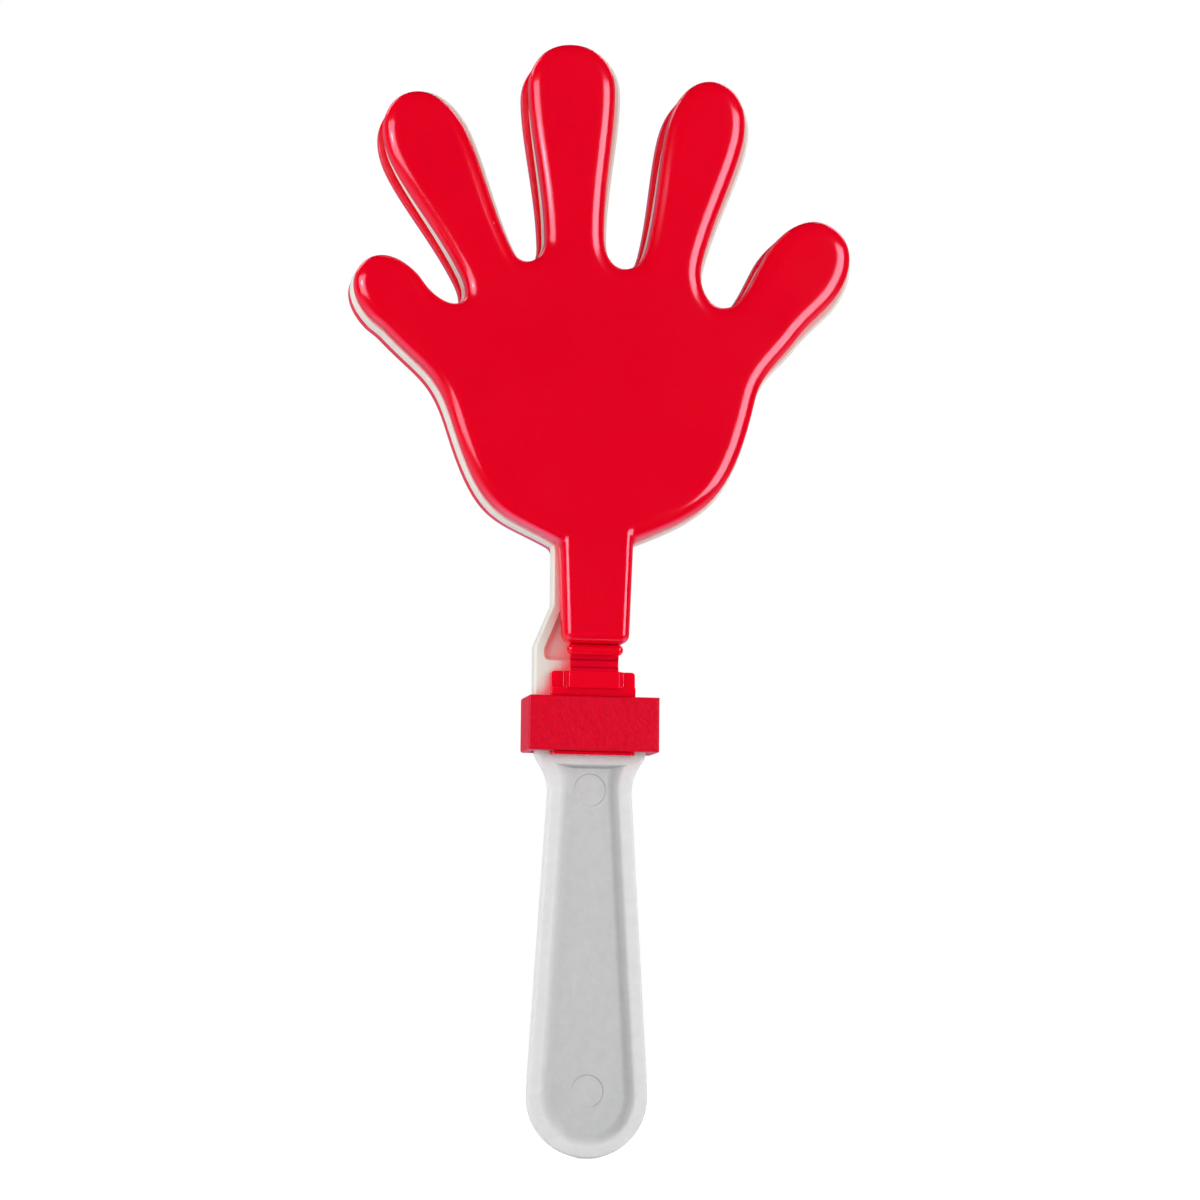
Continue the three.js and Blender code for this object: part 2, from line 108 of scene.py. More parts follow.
COLLAR_SIDE_WALL = 2.4
STEP_GAP = 0.1

# Feet and hinge strips
STEP_RISE = 2.4
PAD_HALF = 6.3
PAD_FLANK = 1.3
PAD_PROUD = 1.55
STEP_PROUD = 0.75
LIP_HEIGHT = 0.8
LIP_REACH = 1.35
LIP_HALF = 10.3
FOOT_CORNER_RADIUS = 0.9
STRIP_HALF = 6.1
STRIP_THICKNESS = 1.2
WEB_WAIST = 0.4
HAND_STRIP_RISE = 1.05
BEAD_RADIUS = 1.4
BEAD_LENGTH = 14.2
BEAD_PROUD = 1.0

# Outer hands
TRAY_WALL = 1.2
RIM_WALL = 2.0
CLAP_GAP = 1.5
LIP_DEPTH = 3.0
LIP_ROUND = 0.18
CROWN_DEPTH = 3.0
CROWN_TO_FLAT = 0.4
NECK_LENGTH = 24.9
NECK_TOP_HALF = 9.2
NECK_BOTTOM_HALF = 8.3
NECK_CORNER_RADIUS = 2.4
PALM_CORNER_RADIUS = 1.6

# Centre hand against the outer hands
CENTRE_PALM_GROW = 0.7
CENTRE_FINGER_GROW = 0.6
CENTRE_FINGER_LEAN = 1.15
CENTRE_SHIFT = 0.4
PALM_MIDDLE_UP = 47.8
CENTRE_NECK_LEFT = 1.0
CENTRE_NECK_RIGHT = 0.6
CENTRE_NECK_TAPER = 1.2
NOTCH_HALF = 6.5
NOTCH_FLARE = 2.0

# Each finger: X and height of its root above the palm's base, lean, length, half of its greatest width,
# length of the rounded tip, half width at the root, and how deep the valley after it reaches
FINGERS = (
    (-48.4, 57.4, -45.1, 16.1, 8.0, 11.2, 7.5, 8.7),
    (-28.7, 70.5, -27.4, 47.0, 10.15, 14.45, 7.1, 6.0),
    (-6.3, 77.9, -1.5, 49.9, 11.0, 11.4, 7.4, 9.6),
    (19.6, 75.2, 13.9, 46.4, 9.85, 14.3, 7.2, 9.4),
    (44.3, 59.8, 35.8, 29.4, 10.4, 14.5, 8.7, 0.0),
)
# Each side of the palm: its sign along X, lean and rise of the heel, X and height of the steepest point, its
# lean, and the pull of the curve below and above it
PALM_SIDES = (
    (-1, -63.0, 0.0, -36.4, 29.6, -18.1, 25.0, 13.8),
    (1, 67.6, 1.0, 40.5, 38.4, 13.0, 27.0, 7.0),
)
# Heights above the palm's base between which the centre hand's growth goes over from palm to fingers
PALM_GROW_TO, FINGER_GROW_FROM = PALM_SIDES[0][4], FINGERS[1][1]
ROOT_PULL, SIDE_PULL, TIP_PULL, HEEL_PULL = 0.35, 0.28, 0.6, 0.4

# How finely curves are drawn, and how far bodies run into each other before they are joined or cut
FINGER_STEPS, PALM_STEPS, NECK_STEPS, HANDLE_END_STEPS = 14, 18, 12, 56
CORNER_STEPS, CROWN_STEPS, ROUND_STEPS, SLOPE_STEPS = 6, 10, 4, 10
BEAD_SIDES, WEB_STEPS, EJECTOR_STEPS = 24, 24, 64
CLOSEST_POINTS = 0.15
FOOT_OVERLAP, PAD_OVERLAP, STRIP_OVERLAP = 0.5, 0.4, 1.0
POCKET_CUT_PROUD, EJECTOR_CUT_PROUD, BORE_CUT_PROUD = 0.6, 0.3, 1.0

# Plastics: how deep light spreads in them, how strong the painted glow is that stands in for light coming
# through the red ones, what wear adds, how the roughness drifts, how far drawn-out grain is stretched, the
# painted shade on a recess's walls that face away, and how far below the face a recess's darker colour
# starts
PLASTIC_IOR = 1.5
SPREAD_DEPTH = 3.0
LIGHT_THROUGH = 0.15
WORN_PALER, WORN_SHARE, WORN_ROUGHER = 0.25, 0.5, 0.25
ROUGHNESS_DRIFT = 0.15
LAY_STRETCH = 3.2
PAINTED_LEE_SHADE = (0.76, 0.76, 0.76)
RECESS_COLOUR_DEPTH = 0.05

# Studio, in metres, but for the camera's sensor and focal length, which are in millimetres. Each lamp:
# azimuth and elevation, the angles that its sides fill, and its brightness against the others of its kind
LAMP_DISTANCE = 1.0
ROOM_RADIUS = 1.6
OBJECT_MIDDLE = Vector((0, 0, 0.15))
FLOOR_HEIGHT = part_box("center_hand")[0].z
GLOSS_LAMPS = {
    "softbox_right": (46, 3, 30, 42, 1.4),
    "softbox_left": (-58, 5, 38, 36, 1.0),
    "lamp_left": (-56, 6, 7, 7, 4.8),
    "softbox_behind_left": (-132, 42, 30, 24, 0.5),
    "softbox_behind_right": (132, 42, 30, 24, 0.5),
}
SHADING_LAMPS = {
    "shade_right": (48, 8, 44, 44, 1.42),
    "shade_left": (-50, 8, 44, 44, 1.3),
    "shade_behind_right": (125, 10, 44, 44, 1.2),
    "shade_behind_left": (-115, 10, 44, 44, 1.5),
}
FLOOR_WHITE, FLOOR_LIFT = 0.85, 0.62
CAMERA_AZIMUTH, CAMERA_ELEVATION, CAMERA_ROLL = -11.0, -7.0, 0.5
CAMERA_AIM, CAMERA_DISTANCE = Vector((0.0023164, 0, 0.089198)), 0.8
SENSOR_WIDTH, FOCAL_LENGTH = 36.0, 95.49

RIM_Y = PLATE_HALF + CLAP_GAP
COLLAR_BOTTOM, COLLAR_TOP = COLLAR_LOW.z, COLLAR_HIGH.z
FOOT_TOP = COLLAR_TOP + FOOT_RISE
BEAD_Z = WEB_HIGH.z + HAND_STRIP_RISE + BEAD_RADIUS
NECK_BOTTOM = BEAD_Z + BEAD_RADIUS
PALM_BASE = NECK_BOTTOM + NECK_LENGTH
SIDES = (("front", -1), ("back", 1))


def length_setting(name, description, default, low, high):
    """A size that a user may change, given in millimetres."""
    return FloatProperty(name=name, description=description, default=default * MM, min=low * MM,
                         max=high * MM, unit="LENGTH")


def light_setting(name, description, default, high):
    """A brightness that a user may change."""
    return FloatProperty(name=name, description=description, default=default, min=0.0, max=high)


def colour_setting(name, description, default):
    """A colour that a user may change."""
    return FloatVectorProperty(name=name, description=description, default=default, min=0.0, max=1.0,
                               subtype="COLOR")


class ClapperSizes(PropertyGroup):
    """Sizes of the rounded edges, which give the mouldings their highlights."""

    palm_crown: length_setting("Palm crown", "Width of the rounded edge round palm and fingers", 4.6, 1, 5)
    neck_crown: length_setting("Neck crown", "Width of the rounded edge along the neck", 2.3, 0.5, 4)
    plate_edge: length_setting("Plate edge", "Radius of the centre hand's outer edges", 0.7, 0.1, 1.5)
    pocket_edge: length_setting("Pocket edge", "How far the rim of a recess is rounded off", 0.45, 0.1, 1)
    handle_slope: length_setting("Handle slope", "Width of the slope round the handle's recess", 3, 0.5, 4)
    hand_slope: length_setting("Hand slope", "Width of the slope round the hand's recess", 0.9, 0.2, 2)
    collar_edge: length_setting("Collar edge", "Radius of the collar's edges", 0.6, 0.1, 1)
    foot_edge: length_setting("Foot edge", "Radius of the edges of the feet", 0.22, 0.05, 0.6)


class ClapperColours(PropertyGroup):
    """Colours of the plastics, as seen in plain light."""

    gloss_red: colour_setting("Gloss red", "Colour of the outer hands", (0.80, 0.0, 0.016))
    satin_red: colour_setting("Satin red", "Colour of the collar", (0.70, 0.0, 0.012))
    ivory: colour_setting("Ivory", "Colour of the centre hand", (0.71, 0.70, 0.645))
    # Painted light and shade: the ivory goes over to this colour, and glows in it, where the red mouldings
    # shut it in
    glow: colour_setting("Glow", "Colour of the centre hand where the red shuts it in", (1.0, 0.12, 0.15))
    handle: colour_setting("Handle", "Colour of the handle's rim", (0.705, 0.705, 0.71))
    # The recess floor is only drawn darker by this colour; it is no rougher than the rim
    recess: colour_setting("Recess", "Colour of the matt floor of the recess", (0.53, 0.535, 0.537))


class ClapperStudio(PropertyGroup):
    """Light and ground of the studio. A brightness of 1 is a lit white card."""

    fill: light_setting("Fill", "Strength of the even light from all round", 0.52, 2)
    softbox_radiance: light_setting("Softboxes", "Brightness of the lamps seen in the gloss", 5.2, 50)
    shade_radiance: light_setting("Shading lamps", "Brightness of the lamps that shade the forms", 1.6, 50)
    back_wall: light_setting("Back wall", "Brightness behind the object, in the gloss", 0.22, 5)
    ground_low: light_setting("Far ground", "Brightness of the far ground in the gloss", 0.45, 5)
    ground_high: light_setting("Near ground", "Brightness of the near ground in the gloss", 1.7, 5)
    floor_radius: length_setting("Floor radius", "Radius of the round pale floor", 700, 300, 20000)


def towards(lean):
    """Unit vector in X and Z that leans this many degrees from +Z towards the thumb."""
    angle = math.radians(lean)
    return Vector((math.sin(angle), math.cos(angle)))


def turned(point, middle, lean):
    """A point turned about another, clockwise seen from the front."""
    angle = math.radians(lean)
    across, up = point - middle
    return middle + Vector((across * math.cos(angle) + up * math.sin(angle),
                            up * math.cos(angle) - across * math.sin(angle)))


def quarter(steps):
    """Cosine and sine of each step of a quarter turn."""
    return [(math.cos(a), math.sin(a)) for a in (math.pi / 2 * i / steps for i in range(steps + 1))]


def bezier(points, steps):
    """Points of a Bezier curve after its first point."""
    found = []
    for i in range(1, steps + 1):
        level, t = list(points), i / steps
        while len(level) > 1:
            level = [a.lerp(b, t) for a, b in zip(level, level[1:])]
        found.append(level[0])
    return found


def along(curves, steps, way=1):
    """Points along Bezier curves that follow each other, or with way -1 back along them."""
    return [point for curve in curves[::way] for point in bezier(curve[::way], steps)]


def hand_edge(lean=0.0):
    """A hand's edge from the palm's corner on the little finger's side round to the thumb's side. Every
    finger after the first leans by this many degrees more."""
    middle = Vector((0, PALM_BASE + PALM_MIDDLE_UP))
    fingers = []
    for x, up, own_lean, length, half, tip, root_half, valley in FINGERS:
        turn = lean if fingers else 0.0
        ahead = towards(own_lean + turn)
        right = Vector((ahead.y, -ahead.x))
        root = turned(Vector((x, PALM_BASE + up)), middle, turn)
        roots = {side: root + right * (side * root_half) for side in (-1, 1)}
        fingers.append((ahead, right, root, roots, length, half, tip, valley))

    palm = []
    for side, (ahead, _, _, roots, *_) in zip(PALM_SIDES, (fingers[0], fingers[-1])):
        sign, heel_lean, heel_rise, x, up, steep_lean, pull_low, pull_high = side
        heel, rise = towards(heel_lean), towards(steep_lean)
        corner = Vector((sign * NECK_TOP_HALF, PALM_BASE + heel_rise)) + heel * PALM_CORNER_RADIUS
        steepest = Vector((x, PALM_BASE + up))
        palm.append([[corner, corner + heel * HEEL_PULL * (steepest - corner).length,
                      steepest - rise * pull_low, steepest],
                     [steepest, steepest + rise * pull_high, roots[sign] - ahead * pull_high, roots[sign]]])

    points = [palm[0][0][0]] + along(palm[0], PALM_STEPS)
    for i, (ahead, right, root, roots, length, half, tip, valley) in enumerate(fingers):
        straight = length - tip
        apex = root + ahead * length
        flanks = []
        for side in (-1, 1):
            wide = root + ahead * straight + right * (side * half)
            flanks.append([[roots[side], roots[side] + ahead * ROOT_PULL * straight,
                            wide - ahead * SIDE_PULL * straight, wide],
                           [wide, wide + ahead * TIP_PULL * tip,
                            apex + right * TIP_PULL * half * side, apex]])
        points += along(flanks[0], FINGER_STEPS) + along(flanks[1], FINGER_STEPS, -1)
        if i + 1 < len(fingers):
            next_ahead, _, _, next_roots, *_ = fingers[i + 1]
            points += bezier([roots[1], roots[1] - ahead * valley, next_roots[-1] - next_ahead * valley,
                              next_roots[-1]], FINGER_STEPS)
    return points + along(palm[1], PALM_STEPS, -1)


def neighbours(points, closed=True):
    """Each point of a line between the one before and the one after it. An open line's ends repeat."""
    first, last = (points[-1], points[0]) if closed else (points[0], points[-1])
    return zip([first, *points[:-1]], points, [*points[1:], last])


def normals_of(points, closed):
    """Unit normals of a clockwise line of points, pointing out."""
    ways = [(after - before).normalized() for before, _, after in neighbours(points, closed)]
    return [Vector((-way.y, way.x)) for way in ways]


def moved_out(points, distances, closed=True):
    """A line with each of its points moved out by its own distance."""
    return [p + n * d for p, n, d in zip(points, normals_of(points, closed), distances)]


def round_corner(before, corner, after, radius):
    """Points of the round corner between two straight edges."""
    back, ahead = (before - corner).normalized(), (after - corner).normalized()
    half = math.acos(max(-1.0, min(1.0, back.dot(ahead)))) / 2
    centre = corner + (back + ahead).normalized() * (radius / math.sin(half))
    start = corner + back * (radius / math.tan(half)) - centre
    turn = math.copysign(math.pi - 2 * half, ahead.x * back.y - ahead.y * back.x)
    found = []
    for i in range(CORNER_STEPS + 1):
        c, s = math.cos(turn * i / CORNER_STEPS), math.sin(turn * i / CORNER_STEPS)
        found.append(centre + Vector((start.x * c - start.y * s, start.x * s + start.y * c)))
    return found


def crossing(point, way, x_low, z_low, x_high, z_high):
    """Where the line from a point along a way meets the straight side through two points."""
    side = Vector((x_high - x_low, z_high - z_low))
    gap = Vector((x_low, z_low)) - point
    t = (gap.x * side.y - gap.y * side.x) / (way.x * side.y - way.y * side.x)
    return point + way * t


def hand_ring(hand, normals, hand_inset, neck_inset, smallest_radius=0.3):
    """One closed line round an outer hand: the hand's edge and the neck's edge, each moved in by its own
    width. The neck runs on up to where it meets the hand's line."""
    edge = [p - n * hand_inset for p, n in zip(hand, normals)]
    low = NECK_BOTTOM + neck_inset
    half_low, half_high = NECK_BOTTOM_HALF - neck_inset, NECK_TOP_HALF - neck_inset
    joins = []
    for sign, first, second in ((-1, edge[0], edge[1]), (1, edge[-1], edge[-2])):
        way = (second - first).normalized()
        corner = crossing(first, way, sign * half_low, NECK_BOTTOM, sign * half_high, PALM_BASE)
        down = (Vector((sign * half_low, low)) - corner).normalized()
        foot = corner + down * min(PALM_CORNER_RADIUS, (first - corner).length)
        joins.append([foot] + bezier([foot, corner, first], CORNER_STEPS)[:-1])
    radius = max(NECK_CORNER_RADIUS - neck_inset, smallest_radius)
    corners = [Vector((-half_low, low)), Vector((half_low, low))]
    left = round_corner(corners[1], corners[0], joins[0][0], radius)
    right = round_corner(joins[1][0], corners[1], corners[0], radius)
    climb = [left[-1].lerp(joins[0][0], i / NECK_STEPS) for i in range(1, NECK_STEPS)]
    descent = [joins[1][0].lerp(right[0], i / NECK_STEPS) for i in range(1, NECK_STEPS)]
    return left + climb + joins[0] + edge + joins[1][::-1] + descent + right


def handle_flank(sign):
    """A side of the handle from its shoulder down to its waist."""
    shoulder, waist = COLLAR_BOTTOM - SHOULDER_BELOW_COLLAR, COLLAR_BOTTOM - WAIST_BELOW_COLLAR
    drop = (shoulder - waist) / 2
    points = [Vector((sign * x, z)) for x, z in (
        (SHOULDER_HALF, shoulder), (SHOULDER_HALF - SHOULDER_TUCK, shoulder - SHOULDER_PULL * drop),
        (WAIST_HALF, waist + WAIST_PULL * drop), (WAIST_HALF, waist))]
    return points[:1] + bezier(points, PALM_STEPS)


def centre_outline():
    """Outline of the centre hand, its neck with a notch beside the hinge, the one-sided ear over the collar,
    and the handle."""
    hand = hand_edge(CENTRE_FINGER_LEAN)
    grow = []
    for p in hand:
        share = min(1.0, max(0.0, (p.y - PALM_BASE - PALM_GROW_TO) / (FINGER_GROW_FROM - PALM_GROW_TO)))
        share = share * share * (3 - 2 * share)
        grow.append(CENTRE_PALM_GROW + (CENTRE_FINGER_GROW - CENTRE_PALM_GROW) * share)
    hand = [p + Vector((CENTRE_SHIFT, 0)) for p in moved_out(hand, grow, closed=False)]
    neck = {-1: -NECK_TOP_HALF - CENTRE_NECK_LEFT, 1: NECK_TOP_HALF + CENTRE_NECK_RIGHT}
    joins = {}
    for sign, first, second in ((-1, hand[0], hand[1]), (1, hand[-1], hand[-2])):
        corner = crossing(first, (second - first).normalized(), neck[sign], 0, neck[sign], PALM_BASE)
        low = corner - Vector((0, PALM_CORNER_RADIUS))
        joins[sign] = [low] + bezier([low, corner, first], CORNER_STEPS)[:-1]
    ear_top = COLLAR_TOP + EAR_ABOVE_COLLAR
    ear_low, ear_high = Vector((-EAR_HALF, COLLAR_TOP + COLLAR_OVER_EAR)), Vector((-EAR_HALF, ear_top))
    flare_top = Vector((neck[-1], ear_top + FLARE_HEIGHT))
    end_centre = Vector((0, -GRIP_TO_END))
    span = COLLAR_BOTTOM - WAIST_BELOW_COLLAR - end_centre.y
    tangent = math.acos(HANDLE_END_RADIUS / math.hypot(WAIST_HALF, span)) + math.atan2(WAIST_HALF, span)
    sweep = 2 * math.pi - 2 * tangent
    turns = [tangent + sweep * i / HANDLE_END_STEPS for i in range(HANDLE_END_STEPS + 1)]
    return [
        *handle_flank(-1)[::-1], Vector((-SHOULDER_HALF, ear_low.y)), ear_low,
        *round_corner(ear_low, ear_high, flare_top, EAR_RADIUS),
        *round_corner(ear_high, flare_top, joins[-1][0], FLARE_RADIUS),
        *joins[-1], *hand, *joins[1][::-1],
        Vector((neck[1] - CENTRE_NECK_TAPER, NECK_BOTTOM + NOTCH_FLARE)),
        Vector((NOTCH_HALF, NECK_BOTTOM)), Vector((NOTCH_HALF, FOOT_TOP)),
        Vector((neck[1] - CENTRE_NECK_TAPER, FOOT_TOP - NOTCH_FLARE)),
        Vector((neck[1] - CENTRE_NECK_TAPER, COLLAR_TOP - STEP_GAP)),
        Vector((SHOULDER_HALF, COLLAR_TOP - RIGHT_SHOULDER_DROP)),
        *handle_flank(1),
        *(end_centre + Vector((math.sin(a), math.cos(a))) * HANDLE_END_RADIUS for a in turns),
    ]


def cut_at(points, height, keep_above):
    """The part of a closed line above or below a height, closed with a level edge."""
    kept = []
    for _, point, following in neighbours(points):
        inside = (point.y >= height) == keep_above
        if inside:
            kept.append(point)
        if inside != ((following.y >= height) == keep_above):
            kept.append(point.lerp(following, (height - point.y) / (following.y - point.y)))
    return kept


def softened(points, radius, sharpest=35, edge_share=0.45, least=1e-3):
    """A closed line whose corners that turn by more degrees than the sharpest are rounded. A round takes no
    more than its share of the edges beside it, and is left out where that is less than the least."""
    found = []
    for before, point, after in neighbours(points):
        before, after = before - point, after - point
        turn = math.degrees((-before).angle(after, 0))
        reach = min(radius, before.length * edge_share, after.length * edge_share)
        if turn < sharpest or reach < least:
            found.append(point)
            continue
        start, end = point + before.normalized() * reach, point + after.normalized() * reach
        found += [start] + bezier([start, point, end], ROUND_STEPS)
    return found


def mitred(points, distance, sharpest=0.4):
    """A closed clockwise line moved out by a distance, with its corners kept, and the sharpest cut short."""
    found = []
    for before, point, after in neighbours(points):
        a, b = (point - before).normalized(), (after - point).normalized()
        n1, n2 = Vector((-a.y, a.x)), Vector((-b.y, b.x))
        found.append(point + (n1 + n2) * (distance / max(sharpest, 1 + n1.dot(n2))))
    return found


def spaced(points):
    """A closed line without points that lie too close together."""
    kept = [points[0]]
    for point in points[1:]:
        if (point - kept[-1]).length >= CLOSEST_POINTS:
            kept.append(point)
    if (kept[0] - kept[-1]).length < CLOSEST_POINTS:
        kept.pop()
    return kept


def in_depth(line, depth):
    """A flat line as points at one depth."""
    return [Vector((p.x, depth, p.y)) for p in line]


def linked(name, data):
    """A new object in the scene."""
    made = bpy.data.objects.new(name, data)
    bpy.context.scene.collection.objects.link(made)
    return made


@contextmanager
def edited(mesh):
    """A mesh opened for editing, and written back at the end."""
    edit = bmesh.new()
    edit.from_mesh(mesh)
    yield edit
    edit.to_mesh(mesh)
    edit.free()


def loft(name, rings):
    """A closed body in millimetres through rings of equal counts, with a flat cap at each end."""
    count = len(rings[0])
    faces = []
    for r in range(len(rings) - 1):
        for i in range(count):
            j = (i + 1) % count
            faces.append((r * count + i, r * count + j, (r + 1) * count + j, (r + 1) * count + i))
    faces.append(tuple(range(count)))
    faces.append(tuple((len(rings) - 1) * count + i for i in range(count)))
    mesh = bpy.data.meshes.new(name)
    mesh.from_pydata([p * MM for ring in rings for p in ring], [], faces)
    with edited(mesh) as edit:
        bmesh.ops.recalc_face_normals(edit, faces=edit.faces)
    return linked(name, mesh)


def bar(name, x_half, depths, heights):
    """A rectangular body."""
    low, high = heights
    flat = [Vector(corner) for corner in ((-x_half, low), (-x_half, high), (x_half, high), (x_half, low))]
    return loft(name, [in_depth(flat, depth) for depth in depths])


def remade(piece):
    """The piece with its modifiers worked into its mesh."""
    bpy.context.view_layer.update()
    done = bpy.data.meshes.new_from_object(piece.evaluated_get(bpy.context.evaluated_depsgraph_get()))
    piece.modifiers.clear()
    old, piece.data = piece.data, done
    bpy.data.meshes.remove(old)
    done.name = piece.name
    return piece


def combined(piece, others, operation):
    """The piece joined with, or cut by, other bodies, which are used up."""
    for other in others:
        modifier = piece.modifiers.new(operation.title(), "BOOLEAN")
        modifier.operation, modifier.solver, modifier.object = operation, "MANIFOLD", other
        remade(piece)
        bpy.data.objects.remove(other)
    if not piece.data.polygons:
        raise RuntimeError(f"{piece.name} lost its faces when it was combined")
    return piece


def bevelled(piece, width, sharpest=35):
    """The piece with its edges that are sharper than this many degrees rounded."""
    modifier = piece.modifiers.new("Rounding", "BEVEL")
    modifier.width, modifier.segments, modifier.limit_method = width, ROUND_STEPS - 1, "ANGLE"
    modifier.angle_limit, modifier.miter_outer = math.radians(sharpest), "MITER_ARC"
    return remade(piece)


def smooth(piece, sharpest, weld=1e-7):
    """Smooth shading, with edges sharper than this many degrees kept, and flat faces kept flat."""
    with edited(piece.data) as edit:
        bmesh.ops.remove_doubles(edit, verts=edit.verts, dist=weld)
        for face in edit.faces:
            face.smooth = True
        for edge in edit.edges:
            edge.smooth = len(edge.link_faces) == 2 and edge.calc_face_angle(0.0) < math.radians(sharpest)
    modifier = piece.modifiers.new("Flat faces stay flat", "WEIGHTED_NORMAL")
    modifier.keep_sharp, modifier.weight = True, 100
    return piece


def placed(piece, body, material, node_name):
    """The finished piece on its body, with its material, in place of its solid."""
    # Joining and cutting bodies leaves an empty material slot behind
    piece.data.materials.clear()
    piece.data.materials.append(material)
    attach(piece, body)
    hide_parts(node_name)


def node(tree, kind, inputs=None, **settings):
    """A shader node with its settings, and a value or a link for inputs given by name or number."""
    made = tree.nodes.new("ShaderNode" + kind)
    for key, value in settings.items():
        setattr(made, key, value)
    for key, value in (inputs or {}).items():
        if isinstance(value, bpy.types.NodeSocket):
            tree.links.new(value, made.inputs[key])
        else:
            made.inputs[key].default_value = value
    return made


def math_node(tree, operation, *values, clamp=False):
    return node(tree, "Math", dict(enumerate(values)), operation=operation, use_clamp=clamp).outputs[0]


def times(tree, a, b, clamp=False):
    return math_node(tree, "MULTIPLY", a, b, clamp=clamp)


def noise(tree, place, scale, detail, **inputs):
    inputs.update({"Vector": place, "Scale": scale, "Detail": detail})
    return node(tree, "TexNoise", inputs).outputs["Fac"]


def ramp(tree, value, start, end, low=0.0, high=1.0, interpolation="LINEAR"):
    """A value that goes from low to high while another goes from start to end."""
    made = node(tree, "MapRange", {"Value": value, "From Min": start, "From Max": end, "To Min": low,
                                   "To Max": high}, interpolation_type=interpolation)
    return made.outputs["Result"]


def mixed(tree, share, a, b, kind="RGBA", blend="MIX"):
    made = node(tree, "Mix", {"Factor": share, "A": a, "B": b}, data_type=kind, blend_type=blend)
    return made.outputs["Result"]


def parts_of(tree, vector):
    """The outputs X, Y and Z of a vector."""
    return node(tree, "SeparateXYZ", {0: vector}).outputs


def arranged(tree, width=220, height=240):
    """Sets the nodes out in columns, each to the left of all the nodes that it feeds."""
    column = dict.fromkeys((made.name for made in tree.nodes), 0)
    for _ in tree.nodes:
        for link in tree.links:
            start, end = link.from_node.name, link.to_node.name
            column[start] = max(column[start], column[end] + 1)
    rows = dict.fromkeys(column.values(), 0)
    for made in tree.nodes:
        place = column[made.name]
        made.location = (-width * place, -height * rows[place])
        rows[place] += 1


def emptied(owner):
    """The node tree of a new material or world, without nodes."""
    owner.use_nodes = True
    owner.node_tree.nodes.clear()
    return owner.node_tree


def surfaced(tree, surface, kind="Material"):
    """Ends the tree of a material or a world with what its surface shows."""
    node(tree, "Output" + kind, {"Surface": surface})
    arranged(tree)


VECTOR, COLOUR, FLOAT = "NodeSocketVector", "NodeSocketColor", "NodeSocketFloat"


def shared_group(inputs, **outputs):
    """Turns a function that wires nodes, and returns what they put out, into one that gives the node group
    of its title, built the first time. Each input is given by its kind, or by its usual number."""
    def decorate(wire):
        def group():
            title = wire.__name__.replace("_", " ").title()
            tree = bpy.data.node_groups.get(title)
            if tree:
                return tree
            tree = bpy.data.node_groups.new(title, "ShaderNodeTree")
            for name, kind in inputs.items():
                number = not isinstance(kind, str)
                socket = tree.interface.new_socket(
                    name=name, in_out="INPUT", socket_type=FLOAT if number else kind)
                if number:
                    socket.default_value = kind
            for name, kind in outputs.items():
                tree.interface.new_socket(name=name.replace("_", " "), in_out="OUTPUT", socket_type=kind)
            given = tree.nodes.new("NodeGroupInput").outputs
            for value, end in zip(wire(tree, given), tree.nodes.new("NodeGroupOutput").inputs):
                tree.links.new(value, end)
            arranged(tree)
            return tree
        return group
    return decorate


def use_group(tree, group, **values):
    """The outputs of a shared group in a tree."""
    inputs = {name.replace("_", " ").title(): value for name, value in values.items()}
    return node(tree, "Group", inputs, node_tree=group()).outputs


def opaque(colour):
    return (*colour, 1.0)


@shared_group({"Position": VECTOR, "Grain Scale": 2500.0, "Ripple Scale": 180.0, "Ripple Share": 0.3},
              Height=FLOAT)
def mould_grain(tree, given):
    """Fine texture of a spark-eroded or blasted mould face."""
    fine = noise(tree, given["Position"], given["Grain Scale"], 2.0, Roughness=0.6)
    broad = noise(tree, given["Position"], given["Ripple Scale"], 1.0)
    return [mixed(tree, given["Ripple Share"], fine, broad, "FLOAT")]


@shared_group({"Position": VECTOR, "Speck Scale": 330.0, "Speck Size": 0.12, "Amount": 0.1}, Mask=FLOAT)
def dust_specks(tree, given):
    """Scattered dust specks and pits."""
    cells = node(tree, "TexVoronoi", {
        "Vector": given["Position"], "Scale": given["Speck Scale"], "Randomness": 1.0}).outputs
    near = math_node(tree, "LESS_THAN", cells["Distance"], given["Speck Size"])
    chance = node(tree, "SeparateColor", {0: cells["Color"]}).outputs[0]
    return [times(tree, near, math_node(tree, "LESS_THAN", chance, given["Amount"]))]


@shared_group({"Position": VECTOR, "Flow Scale": 25.0, "Shade A": COLOUR, "Shade B": COLOUR}, Colour=COLOUR)
def flow_tint(tree, given):
    """Slow drift between two shades of the same plastic, as flow lines leave it."""
    flow = noise(tree, given["Position"], given["Flow Scale"], 3.0, Roughness=0.55, Distortion=0.6)
    return [mixed(tree, ramp(tree, flow, 0.3, 0.7), given["Shade A"], given["Shade B"])]


@shared_group({"Position": VECTOR, "Scuff Scale": 90.0, "Patch Scale": 60.0, "Amount": 0.35}, Mask=FLOAT)
def fine_scuffs(tree, given):
    """Patches of fine scuffs, mostly along the length of the piece."""
    drawn_out = node(tree, "Mapping", {
        "Vector": given["Position"], "Rotation": (0, math.radians(14), 0), "Scale": (14, 14, 1)}).outputs[0]
    lines = ramp(tree, noise(tree, drawn_out, given["Scuff Scale"], 2.0), 0.66, 0.74)
    patches = ramp(tree, noise(tree, given["Position"], given["Patch Scale"], 1.0), 0.55, 0.7)
    return [times(tree, times(tree, lines, patches), given["Amount"])]


